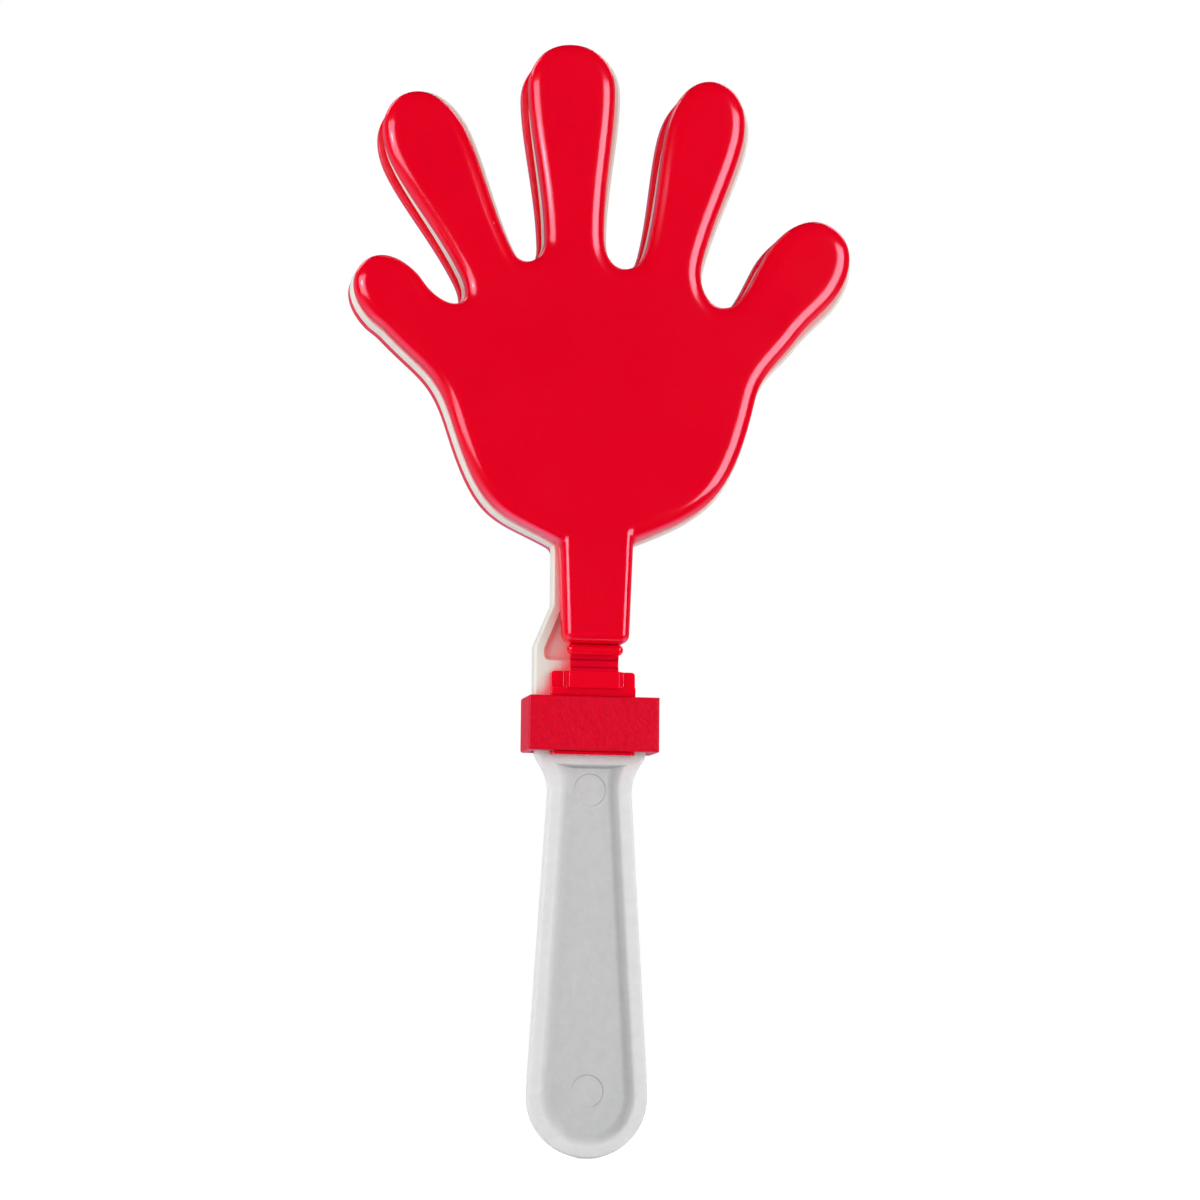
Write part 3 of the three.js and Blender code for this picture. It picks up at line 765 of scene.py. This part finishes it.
@shared_group({"Colour": COLOUR, "Glow": COLOUR, "Reach": 0.008}, Colour=COLOUR, Light_Through=COLOUR)
def red_glow(tree, given):
    """Painted light and shade: colour and glow that stand in for the light that the red mouldings throw on
    the plastic beside them and let through, and for the shade where they shut it in. The more a point is
    shut in, the more of it."""
    open_sky = node(tree, "AmbientOcclusion", {"Distance": given["Reach"]}, samples=4).outputs["AO"]
    share = ramp(tree, open_sky, 0.72, 0.46)
    return [mixed(tree, share, start, given["Glow"]) for start in (given["Colour"], opaque((0, 0, 0)))]


@shared_group({"Position": VECTOR, "Colour": COLOUR, "Floor Shade": COLOUR, "Lee Shade": COLOUR,
               "Rim Height": 0.0025, "Floor Height": 0.0008}, Colour=COLOUR)
def sunk_floor(tree, given):
    """Change of colour from the rim of a recess down to its darker floor. On top of that, a painted shade
    darkens the walls that face left or down, as if they were turned away from the light."""
    facing = parts_of(tree, node(tree, "TexCoord").outputs["Normal"])
    flat = ramp(tree, math_node(tree, "ABSOLUTE", facing[1]), 0.3, 0.6)
    height = math_node(tree, "ABSOLUTE", parts_of(tree, given["Position"])[1])
    sunk = ramp(tree, height, given["Rim Height"], given["Floor Height"], interpolation="SMOOTHSTEP")
    inside = times(tree, sunk, flat)
    matt = mixed(tree, inside, given["Colour"], given["Floor Shade"], blend="MULTIPLY")
    # Painted shade: walls that face left or down are darkened as if turned away from the light
    turned_away = ramp(tree, math_node(tree, "MINIMUM", facing[0], facing[2]), -0.04, -0.4)
    lee = times(tree, turned_away, times(tree, inside, 3.0, clamp=True))
    return [mixed(tree, lee, matt, given["Lee Shade"], blend="MULTIPLY")]


def plastic(name, colour, shade, roughness, gloss, grain, flow=22.0, specks=0.0, scuffs=0.0, sheen=(1, 1, 1),
            spread=(0.0, (1, 1, 1)), glow=None, floor=None, lay=None):
    """A moulded plastic. Grain is (scale, ripple scale, ripple share, bump distance in mm, strength), flow
    is the scale of the drift between its two shades, sheen tints its gloss, spread is the share of light
    that travels below the surface and its colour, glow is the colour of the painted red light and shade
    where the red mouldings shut the plastic in, floor is the darker colour at the bottom of a recess, whose
    walls that face left or down also get a painted shade, and lay is the angle in degrees along which the
    grain is drawn out."""
    found = bpy.data.materials.get(name)
    if found:
        return found
    material = bpy.data.materials.new(name)
    tree = emptied(material)
    place = node(tree, "TexCoord").outputs["Object"]
    tint = use_group(tree, flow_tint, position=place, flow_scale=flow, shade_a=opaque(colour),
                     shade_b=opaque(shade))["Colour"]
    lit = {}
    # Painted light and shade: a red glow and a darker red tint where the red mouldings shut the plastic in
    if glow:
        painted_red_light = use_group(tree, red_glow, colour=tint, glow=opaque(glow))
        tint = painted_red_light["Colour"]
        lit = {"Emission Color": painted_red_light["Light Through"], "Emission Strength": LIGHT_THROUGH}
    # A darker recess floor, and painted shade on the recess walls that face left or down
    if floor:
        tint = use_group(tree, sunk_floor, position=place, colour=tint,
                         floor_shade=opaque([f / c for f, c in zip(floor, colour)]),
                         lee_shade=opaque(PAINTED_LEE_SHADE), floor_height=FLOOR_HALF * MM,
                         rim_height=(PLATE_HALF - RECESS_COLOUR_DEPTH) * MM)["Colour"]
    dust = use_group(tree, dust_specks, position=place, amount=specks)["Mask"]
    marks = use_group(tree, fine_scuffs, position=place, amount=scuffs)["Mask"]
    worn = math_node(tree, "MAXIMUM", dust, marks, clamp=True)
    pale = opaque([min(1.0, c + WORN_PALER) for c in colour])
    if lay is not None:
        place = node(tree, "Mapping", {"Vector": place, "Rotation": (0, math.radians(lay), 0),
                                       "Scale": (1, 1, LAY_STRETCH)}, vector_type="TEXTURE").outputs[0]
    scale, ripple, share, distance, strength = grain
    height = use_group(tree, mould_grain, position=place, grain_scale=scale, ripple_scale=ripple,
                       ripple_share=share)["Height"]
    uneven = ramp(tree, height, 0.3, 0.7, roughness * (1 - ROUGHNESS_DRIFT),
                  roughness * (1 + ROUGHNESS_DRIFT))
    bump = node(tree, "Bump", {"Strength": strength, "Distance": distance * MM, "Height": height})
    shader = node(tree, "BsdfPrincipled", {
        "Base Color": mixed(tree, times(tree, worn, WORN_SHARE), tint, pale),
        "Roughness": math_node(tree, "ADD", uneven, times(tree, worn, WORN_ROUGHER)),
        "IOR": PLASTIC_IOR, "Specular IOR Level": gloss, "Specular Tint": opaque(sheen),
        "Subsurface Weight": spread[0], "Subsurface Radius": spread[1],
        "Subsurface Scale": SPREAD_DEPTH * MM, "Normal": bump.outputs["Normal"], **lit})
    surfaced(tree, shader.outputs["BSDF"])
    return material


def gloss_red():
    colour = bpy.context.scene.clapper_colours.gloss_red
    return plastic("Gloss Red Plastic", colour, [c * 0.95 for c in colour], roughness=0.14, gloss=0.6,
                   grain=(900.0, 70.0, 0.7, 0.02, 0.12), specks=0.01, scuffs=0.04, sheen=(1, 0.74, 0.96),
                   spread=(0.8, (1.0, 0.12, 0.12)))


def satin_red():
    colour = bpy.context.scene.clapper_colours.satin_red
    return plastic("Satin Red Plastic", colour, [c * 0.84 for c in colour], roughness=0.34, gloss=0.35,
                   grain=(2100.0, 700.0, 0.4, 0.16, 0.8), sheen=(0.7, 0.2, 0.45), flow=900.0, lay=-36.0)


def ivory():
    colours = bpy.context.scene.clapper_colours
    shade = [c * factor for c, factor in zip(colours.ivory, (0.985, 0.98, 0.965))]
    # The glow colour paints red light and shade where the red mouldings shut the ivory in
    return plastic("Ivory Plastic", colours.ivory, shade, roughness=0.38, gloss=0.4,
                   grain=(1500.0, 160.0, 0.4, 0.04, 0.25), specks=0.01, scuffs=0.1,
                   spread=(0.3, (1.0, 0.9, 0.85)), glow=colours.glow)


def handle_ivory():
    colours = bpy.context.scene.clapper_colours
    # Recess floor drawn darker, with painted shade on its walls that face left or down
    return plastic("Handle Ivory Plastic", colours.handle, [c * 0.94 for c in colours.handle], roughness=0.5,
                   gloss=0.3, grain=(700.0, 330.0, 0.5, 0.3, 1.0), specks=0.006, scuffs=0.35, flow=380.0,
                   spread=(0.3, (1.0, 0.97, 0.95)), floor=colours.recess)


def stiff_strip(name, side, heights):
    """A stiff end of the hinge strip, inside a hand or a foot."""
    half = STRIP_THICKNESS / 2
    return bar(name + "_strip", STRIP_HALF, (side * (HINGE_Y - half), side * (HINGE_Y + half)), heights)


def neck_bead(name, side, end_step=0.35):
    """The bead across the end of the neck, with round ends. Their last ring stands at this part of a step,
    so that it keeps a face."""
    rings = []
    length = BEAD_LENGTH / 2 - BEAD_RADIUS
    for i in range(2 * CROWN_STEPS + 2):
        end = -1 if i <= CROWN_STEPS else 1
        step = i if end < 0 else 2 * CROWN_STEPS + 1 - i
        angle = math.pi / 2 * max(step, end_step) / CROWN_STEPS
        x = end * (length + BEAD_RADIUS * math.cos(angle))
        radius = BEAD_RADIUS * math.sin(angle)
        rings.append([Vector((x, side * (HINGE_Y + BEAD_PROUD) + radius * math.cos(a),
                              BEAD_Z + radius * math.sin(a)))
                      for a in (2 * math.pi * k / BEAD_SIDES for k in range(BEAD_SIDES))])
    return loft(name + "_bead", rings)


def outer_hand(name, side):
    """The hollow hand, with the bead across its neck and the stiff end of the hinge strip."""
    sizes = bpy.context.scene.clapper_sizes
    palm_crown, neck_crown = sizes.palm_crown / MM, sizes.neck_crown / MM
    hand = hand_edge()
    normals = normals_of(hand, closed=False)

    def ring(palm_inset, neck_inset, depth):
        line = hand_ring(hand, normals, palm_inset, neck_inset)
        return in_depth(line, side * (RIM_Y + depth))

    outer, inner = [], []
    for c, s in quarter(ROUND_STEPS):
        fall, step = LIP_ROUND * (1 - s), LIP_ROUND * (1 - c)
        outer.append(ring(fall, fall, step))
        inner.append(ring(RIM_WALL - fall, RIM_WALL - fall, step))
    for i in (1, 2):
        depth = LIP_ROUND + (LIP_DEPTH - LIP_ROUND) * i / 3
        outer.append(ring(0, 0, depth))
        inner.append(ring(RIM_WALL, RIM_WALL, depth))
    for c, rise in quarter(CROWN_STEPS):
        turn = 1 - c
        outer.append(ring(palm_crown * turn, neck_crown * turn, LIP_DEPTH + CROWN_DEPTH * rise))
        inner.append(ring(*(RIM_WALL + (crown - RIM_WALL) * turn for crown in (palm_crown, neck_crown)),
                          LIP_DEPTH + (CROWN_DEPTH - TRAY_WALL) * rise))
    for rings, depth in ((outer, LIP_DEPTH + CROWN_DEPTH), (inner, LIP_DEPTH + CROWN_DEPTH - TRAY_WALL)):
        rings.append(ring(palm_crown + CROWN_TO_FLAT, neck_crown + CROWN_TO_FLAT, depth))
    piece = loft(name, inner[::-1] + outer)
    strip = stiff_strip(name, side, (WEB_HIGH.z, NECK_BOTTOM + TRAY_WALL / 2))
    return smooth(combined(piece, [neck_bead(name, side), strip], "UNION"), 40)


def hinge_strip(name, side):
    """The thin strip that flexes, waisted at the middle of its height."""
    rings = []
    low, high = WEB_LOW.z, WEB_HIGH.z
    for i in range(WEB_STEPS + 1):
        z = low + (high - low) * i / WEB_STEPS
        out = max(0.0, abs(2 * i / WEB_STEPS - 1) * 2 - 1)
        half = (WEB_WAIST + (STRIP_THICKNESS - WEB_WAIST) * (1 - math.sqrt(1 - out * out))) / 2
        rings.append([Vector((way * x, side * HINGE_Y - way * half, z))
                      for way in (1, -1) for x in (-STRIP_HALF, 0, STRIP_HALF)])
    return smooth(loft(name, rings), 40)


def hinge_foot(name, side):
    """Plate under the collar, ledge on the collar's top, padded root of the hinge, and catch lip below."""
    face = COLLAR_HIGH.y - COLLAR_WALL
    root = face - FOOT_OVERLAP
    low, half, step_top = FOOT_LOW.z, FOOT_HIGH.x, COLLAR_TOP + STEP_RISE
    corners = [Vector(c) for c in ((-half, low), (-half, FOOT_TOP), (half, FOOT_TOP), (half, low))]
    plate = [corners[0], *round_corner(*corners[0:3], FOOT_CORNER_RADIUS),
             *round_corner(*corners[1:4], FOOT_CORNER_RADIUS), corners[3]]
    piece = loft(name, [in_depth(plate, side * PLATE_HALF), in_depth(plate, side * face)])
    step = bar(name + "_step", half, (side * root, side * (face + STEP_PROUD)),
               (COLLAR_TOP + STEP_GAP, step_top))
    flank = [(PAD_HALF + PAD_FLANK, root), (PAD_HALF + PAD_FLANK, face), (PAD_HALF, face + PAD_PROUD)]
    section = [(-x, y) for x, y in flank] + flank[::-1]
    pad = loft(name + "_pad", [[Vector((x, side * y, z)) for x, y in section]
                               for z in (step_top - PAD_OVERLAP, FOOT_TOP)])
    lip = bar(name + "_lip", LIP_HALF, (side * root, side * (face + LIP_REACH)), (low, low + LIP_HEIGHT))
    strip = stiff_strip(name, side, (FOOT_TOP - STRIP_OVERLAP, FOOT_HIGH.z))
    combined(piece, [step, pad, lip, strip], "UNION")
    return smooth(bevelled(piece, bpy.context.scene.clapper_sizes.foot_edge), 30)


def pocket_cutter(name, line, side, slope, top_share, easing=0.35):
    """A cutter whose walls run in a soft curve from the rim down to the floor. At the pocket's top end the
    slope takes only its top share of the width."""
    edge = bpy.context.scene.clapper_sizes.pocket_edge / MM
    low = min(p[1] for p in line)
    rings = [in_depth(mitred(line, edge), side * (PLATE_HALF + POCKET_CUT_PROUD))]
    for i in range(SLOPE_STEPS + 1):
        t = i / SLOPE_STEPS
        fall = (PLATE_HALF - FLOOR_HALF) * (easing * t * t * (3 - 2 * t) + (1 - easing) * (1 - (1 - t) ** 2))
        inset = slope * t
        ring = mitred(line, edge * (1 - t) - inset)
        reach = max(p[1] for p in ring) - low
        stretch = (reach + inset * (1 - top_share)) / reach
        rings.append(in_depth([Vector((p.x, low + (p.y - low) * stretch)) for p in ring],
                              side * (PLATE_HALF - fall)))
    return loft(name, rings)


def ejector_cutter(name, height, side):
    """A cutter for the shallow round mark of an ejector pin, with a drafted edge."""
    rings = []
    for radius, proud in ((EJECTOR_RADIUS + EJECTOR_SLOPE, EJECTOR_CUT_PROUD),
                          (EJECTOR_RADIUS + EJECTOR_SLOPE, 0), (EJECTOR_RADIUS, -EJECTOR_DEPTH)):
        turns = [2 * math.pi * k / EJECTOR_STEPS for k in range(EJECTOR_STEPS)]
        circle = [Vector((radius * math.cos(a), height - radius * math.sin(a))) for a in turns]
        rings.append(in_depth(circle, side * (FLOOR_HALF + proud)))
    return loft(name, rings)


def centre_hand(name):
    """The plate with its pockets, in one piece with the handle."""
    sizes = bpy.context.scene.clapper_sizes
    edge = sizes.plate_edge / MM
    outline = centre_outline()

    def inside(distance):
        return moved_out(outline, [-distance] * len(outline))

    rings = []
    for side in (-1, 1):
        for c, s in quarter(ROUND_STEPS)[::side]:
            rings.append(in_depth(inside(edge * (1 - c)), side * (PLATE_HALF - edge + edge * s)))
    piece = loft(name, rings)
    pocket_top = COLLAR_BOTTOM - HANDLE_POCKET_BELOW_COLLAR
    pocket_end = HANDLE_RIM - GRIP_TO_END - HANDLE_END_RADIUS
    hand_line = cut_at(inside(HAND_RIM), HINGE_Z + HAND_POCKET_ABOVE_HINGE, True)
    handle_line = cut_at(inside(HANDLE_RIM), pocket_top, False)
    cutters = [pocket_cutter(name + "_pocket", spaced(line), side, slope / MM, top_share)
               for line, slope, top_share in (
                   (softened(hand_line, HAND_POCKET_CORNER), sizes.hand_slope, 1.0),
                   (handle_line, sizes.handle_slope, HANDLE_TOP_SLOPE_SHARE))
               for side in (-1, 1)]
    cutters += [ejector_cutter(name + "_mark", z, side)
                for z in (pocket_top - EJECTOR_BELOW_POCKET_TOP, pocket_end + EJECTOR_ABOVE_POCKET_END)
                for side in (-1, 1)]
    return smooth(combined(piece, cutters, "DIFFERENCE"), 40)


def collar_sleeve(name):
    """The sleeve: a rectangular tube with rounded edges."""
    high, low = COLLAR_HIGH, COLLAR_LOW
    piece = bar(name, high.x, (low.y, high.y), (low.z, high.z))
    bore = bar(name + "_bore", high.x - COLLAR_SIDE_WALL, (low.y + COLLAR_WALL, high.y - COLLAR_WALL),
               (low.z - BORE_CUT_PROUD, high.z + BORE_CUT_PROUD))
    combined(piece, [bore], "DIFFERENCE")
    return smooth(bevelled(piece, bpy.context.scene.clapper_sizes.collar_edge), 30)


class CLAPPER_OT_centre_hand(Operator):
    """Build the ivory centre hand with its handle"""

    bl_idname = "clapper.centre_hand"
    bl_label = "Centre Hand"

    def execute(self, context):
        piece = centre_hand("centre_hand_moulding")
        placed(piece, "handle", ivory(), "center_hand")
        piece.data.materials.append(handle_ivory())
        level = (COLLAR_BOTTOM + HANDLE_FINISH_IN_COLLAR) * MM
        with edited(piece.data) as edit:
            bmesh.ops.bisect_plane(edit, geom=edit.verts[:] + edit.edges[:] + edit.faces[:],
                                   plane_co=(0, 0, level), plane_no=(0, 0, 1))
        for face in piece.data.polygons:
            face.material_index = int(face.center.z < level)
        return {"FINISHED"}


class CLAPPER_OT_outer_hands(Operator):
    """Build the two red outer hands"""

    bl_idname = "clapper.outer_hands"
    bl_label = "Outer Hands"

    def execute(self, context):
        for name, side in SIDES:
            piece = outer_hand(f"{name}_hand_shell", side)
            placed(piece, f"{name}_hand", gloss_red(), f"{name}_palm")
        return {"FINISHED"}


class CLAPPER_OT_hinge_strips(Operator):
    """Build the two flexing hinge strips"""

    bl_idname = "clapper.hinge_strips"
    bl_label = "Hinge Strips"

    def execute(self, context):
        for name, side in SIDES:
            piece = hinge_strip(f"{name}_flexing_strip", side)
            piece.data.materials.append(gloss_red())
            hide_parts(f"{name}_hinge_web")
            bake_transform(piece)
        return {"FINISHED"}


class CLAPPER_OT_feet(Operator):
    """Build the two feet that the collar clamps"""

    bl_idname = "clapper.feet"
    bl_label = "Feet"

    def execute(self, context):
        for name, side in SIDES:
            piece = hinge_foot(f"{name}_foot_moulding", side)
            placed(piece, "handle", gloss_red(), f"{name}_hinge_foot")
        return {"FINISHED"}


class CLAPPER_OT_collar(Operator):
    """Build the satin red collar"""

    bl_idname = "clapper.collar"
    bl_label = "Collar"

    def execute(self, context):
        placed(collar_sleeve("collar_sleeve"), "handle", satin_red(), "collar")
        return {"FINISHED"}


def direction(azimuth, elevation):
    """Unit vector from the object, with azimuth 0 at the front and positive towards the thumb."""
    turn, rise = math.radians(azimuth), math.radians(elevation)
    return Vector((math.sin(turn) * math.cos(rise), -math.cos(turn) * math.cos(rise), math.sin(rise)))


def softbox(name, azimuth, elevation, width, height, radiance, for_gloss):
    """A rectangular lamp that faces the object, its sides given by the angles that they fill. It is seen
    either in the gloss alone or in the plain shading alone."""
    lamp = bpy.data.lights.new(name, "AREA")
    across, tall = (2 * LAMP_DISTANCE * math.tan(math.radians(angle) / 2) for angle in (width, height))
    lamp.shape, lamp.size, lamp.size_y = "RECTANGLE", across, tall
    lamp.energy = math.pi * across * tall * radiance
    made = linked(name, lamp)
    way = direction(azimuth, elevation)
    made.location = OBJECT_MIDDLE + way * LAMP_DISTANCE
    made.rotation_euler = (-way).to_track_quat("-Z", "Y").to_euler()
    made.visible_camera = False
    made.visible_glossy, made.visible_diffuse = for_gloss, not for_gloss


def staged(name, material_name, shape, **sizes):
    """A piece of the stage from one of the simple shapes, and its empty material."""
    mesh = bpy.data.meshes.new(name)
    with edited(mesh) as edit:
        shape(edit, **sizes)
    mesh.materials.append(bpy.data.materials.new(material_name))
    made = linked(name, mesh)
    return made, emptied(mesh.materials[0])


def reflected_room(studio):
    """What the gloss mirrors besides the lamps: a dark front and ceiling, grey behind, a pale ground. The
    heights in it are sines of the elevation, and back is 1 straight behind and -1 straight in front."""
    room, tree = staged("reflected_room", "Room Cards", bmesh.ops.create_uvsphere, u_segments=64,
                        v_segments=32, radius=ROOM_RADIUS)
    room.location = OBJECT_MIDDLE
    way = node(tree, "VectorMath", {0: node(tree, "TexCoord").outputs["Object"]}, operation="NORMALIZE")
    x, y, z = parts_of(tree, way.outputs[0])
    level = math_node(tree, "SQRT", math_node(tree, "ADD", times(tree, x, x), times(tree, y, y)))
    back = math_node(tree, "DIVIDE", y, math_node(tree, "MAXIMUM", level, 0.001))
    far = ramp(tree, z, -0.12, -0.4, 0.0, studio.ground_low, "SMOOTHSTEP")
    near = ramp(tree, z, -0.4, -0.87, 0.0, studio.ground_high - studio.ground_low)
    beside = ramp(tree, back, -0.6, 0.1, interpolation="SMOOTHSTEP")
    ground = times(tree, math_node(tree, "ADD", far, near), beside)
    behind = ramp(tree, back, 0.1, 0.6, 0.0, studio.back_wall, "SMOOTHSTEP")
    wall = times(tree, behind, ramp(tree, z, 0.7, 0.4, interpolation="SMOOTHSTEP"))
    light = node(tree, "Emission", {"Color": (1.0, 0.9, 1.3, 1),
                                    "Strength": math_node(tree, "ADD", ground, wall)})
    surfaced(tree, light.outputs[0])
    room.visible_camera = room.visible_diffuse = room.visible_shadow = False
    room.visible_transmission = room.visible_volume_scatter = False


def seen_plainly(tree):
    """1 where the camera sees the ground, straight or through gloss and clear things."""
    rays = node(tree, "LightPath").outputs
    return math_node(tree, "MAXIMUM", rays["Is Camera Ray"],
                     math_node(tree, "MAXIMUM", rays["Is Glossy Ray"], rays["Is Transmission Ray"]))


def white_world(fill):
    """Even light on the object, and plain white behind it."""
    world = bpy.context.scene.world = bpy.data.worlds.new("Studio White")
    tree = emptied(world)
    strength = mixed(tree, seen_plainly(tree), fill, 1.0, "FLOAT")
    light = node(tree, "Background", {"Color": (1, 1, 1, 1), "Strength": strength})
    surfaced(tree, light.outputs[0], "World")


def pale_floor(radius):
    """A round floor under the handle's end, which looks lit to the camera and throws nothing back."""
    floor, tree = staged("studio_floor", "Floor White", bmesh.ops.create_circle, cap_ends=True, segments=96,
                         radius=radius)
    floor.location.z = FLOOR_HEIGHT
    white = node(tree, "BsdfDiffuse", {"Color": opaque([FLOOR_WHITE] * 3)})
    lift = node(tree, "Emission", {"Color": (1, 1, 1, 1), "Strength": FLOOR_LIFT})
    none = node(tree, "Emission", {"Strength": 0.0})
    chosen = node(tree, "MixShader", {0: seen_plainly(tree), 1: none.outputs[0], 2: lift.outputs[0]})
    total = node(tree, "AddShader", {0: white.outputs[0], 1: chosen.outputs[0]})
    surfaced(tree, total.outputs[0])
    floor.visible_glossy = False


def photo_camera():
    """The camera at the photograph's place, rolled a little."""
    lens = bpy.data.cameras.new("photo_camera")
    camera = linked("photo_camera", lens)
    turn, roll = math.radians(CAMERA_AZIMUTH), math.radians(CAMERA_ROLL)
    back = direction(CAMERA_AZIMUTH, CAMERA_ELEVATION)
    right = Vector((math.cos(turn), math.sin(turn), 0))
    up = back.cross(right)
    right, up = (right * math.cos(roll) + up * math.sin(roll), up * math.cos(roll) - right * math.sin(roll))
    view = Matrix((right, up, back)).transposed().to_4x4()
    view.translation = CAMERA_AIM + back * CAMERA_DISTANCE
    camera.matrix_world = view
    lens.sensor_width, lens.lens = SENSOR_WIDTH, FOCAL_LENGTH
    lens.clip_start, lens.clip_end = 0.01, 50.0
    bpy.context.scene.camera = camera


class CLAPPER_OT_studio(Operator):
    """Set up the pale floor, the soft lights and the camera"""

    bl_idname = "clapper.studio"
    bl_label = "Studio"

    def execute(self, context):
        studio = context.scene.clapper_studio
        context.scene.view_settings.view_transform = "Standard"
        white_world(studio.fill)
        pale_floor(studio.floor_radius)
        for lamps, radiance, for_gloss in ((GLOSS_LAMPS, studio.softbox_radiance, True),
                                           (SHADING_LAMPS, studio.shade_radiance, False)):
            for name, (azimuth, elevation, width, height, share) in lamps.items():
                softbox(name, azimuth, elevation, width, height, radiance * share, for_gloss)
        reflected_room(studio)
        photo_camera()
        return {"FINISHED"}


class CLAPPER_PT_build(Panel):
    """Lists the pieces of the clapper"""

    bl_idname = "CLAPPER_PT_build"
    bl_label = "Hand Clapper"
    bl_space_type = "VIEW_3D"
    bl_region_type = "UI"
    bl_category = "Clapper"

    def draw(self, context):
        scene = context.scene
        for group in (scene.clapper_sizes, scene.clapper_colours, scene.clapper_studio):
            box = self.layout.box()
            for name in group.__annotations__:
                box.prop(group, name)
        for operator in PIECES:
            self.layout.operator(operator.bl_idname)


PIECES = (
    CLAPPER_OT_centre_hand,
    CLAPPER_OT_outer_hands,
    CLAPPER_OT_hinge_strips,
    CLAPPER_OT_feet,
    CLAPPER_OT_collar,
    CLAPPER_OT_studio,
)
CLASSES = (ClapperSizes, ClapperColours, ClapperStudio, *PIECES, CLAPPER_PT_build)


def register():
    for cls in CLASSES:
        bpy.utils.register_class(cls)
    bpy.types.Scene.clapper_sizes = PointerProperty(type=ClapperSizes)
    bpy.types.Scene.clapper_colours = PointerProperty(type=ClapperColours)
    bpy.types.Scene.clapper_studio = PointerProperty(type=ClapperStudio)


def unregister():
    del bpy.types.Scene.clapper_studio
    del bpy.types.Scene.clapper_colours
    del bpy.types.Scene.clapper_sizes
    for cls in reversed(CLASSES):
        bpy.utils.unregister_class(cls)


def main():
    register()
    bpy.ops.clapper.centre_hand()
    bpy.ops.clapper.outer_hands()
    bpy.ops.clapper.hinge_strips()
    bpy.ops.clapper.feet()
    bpy.ops.clapper.collar()
    bpy.ops.clapper.studio()


if __name__ == "__main__":
    main()
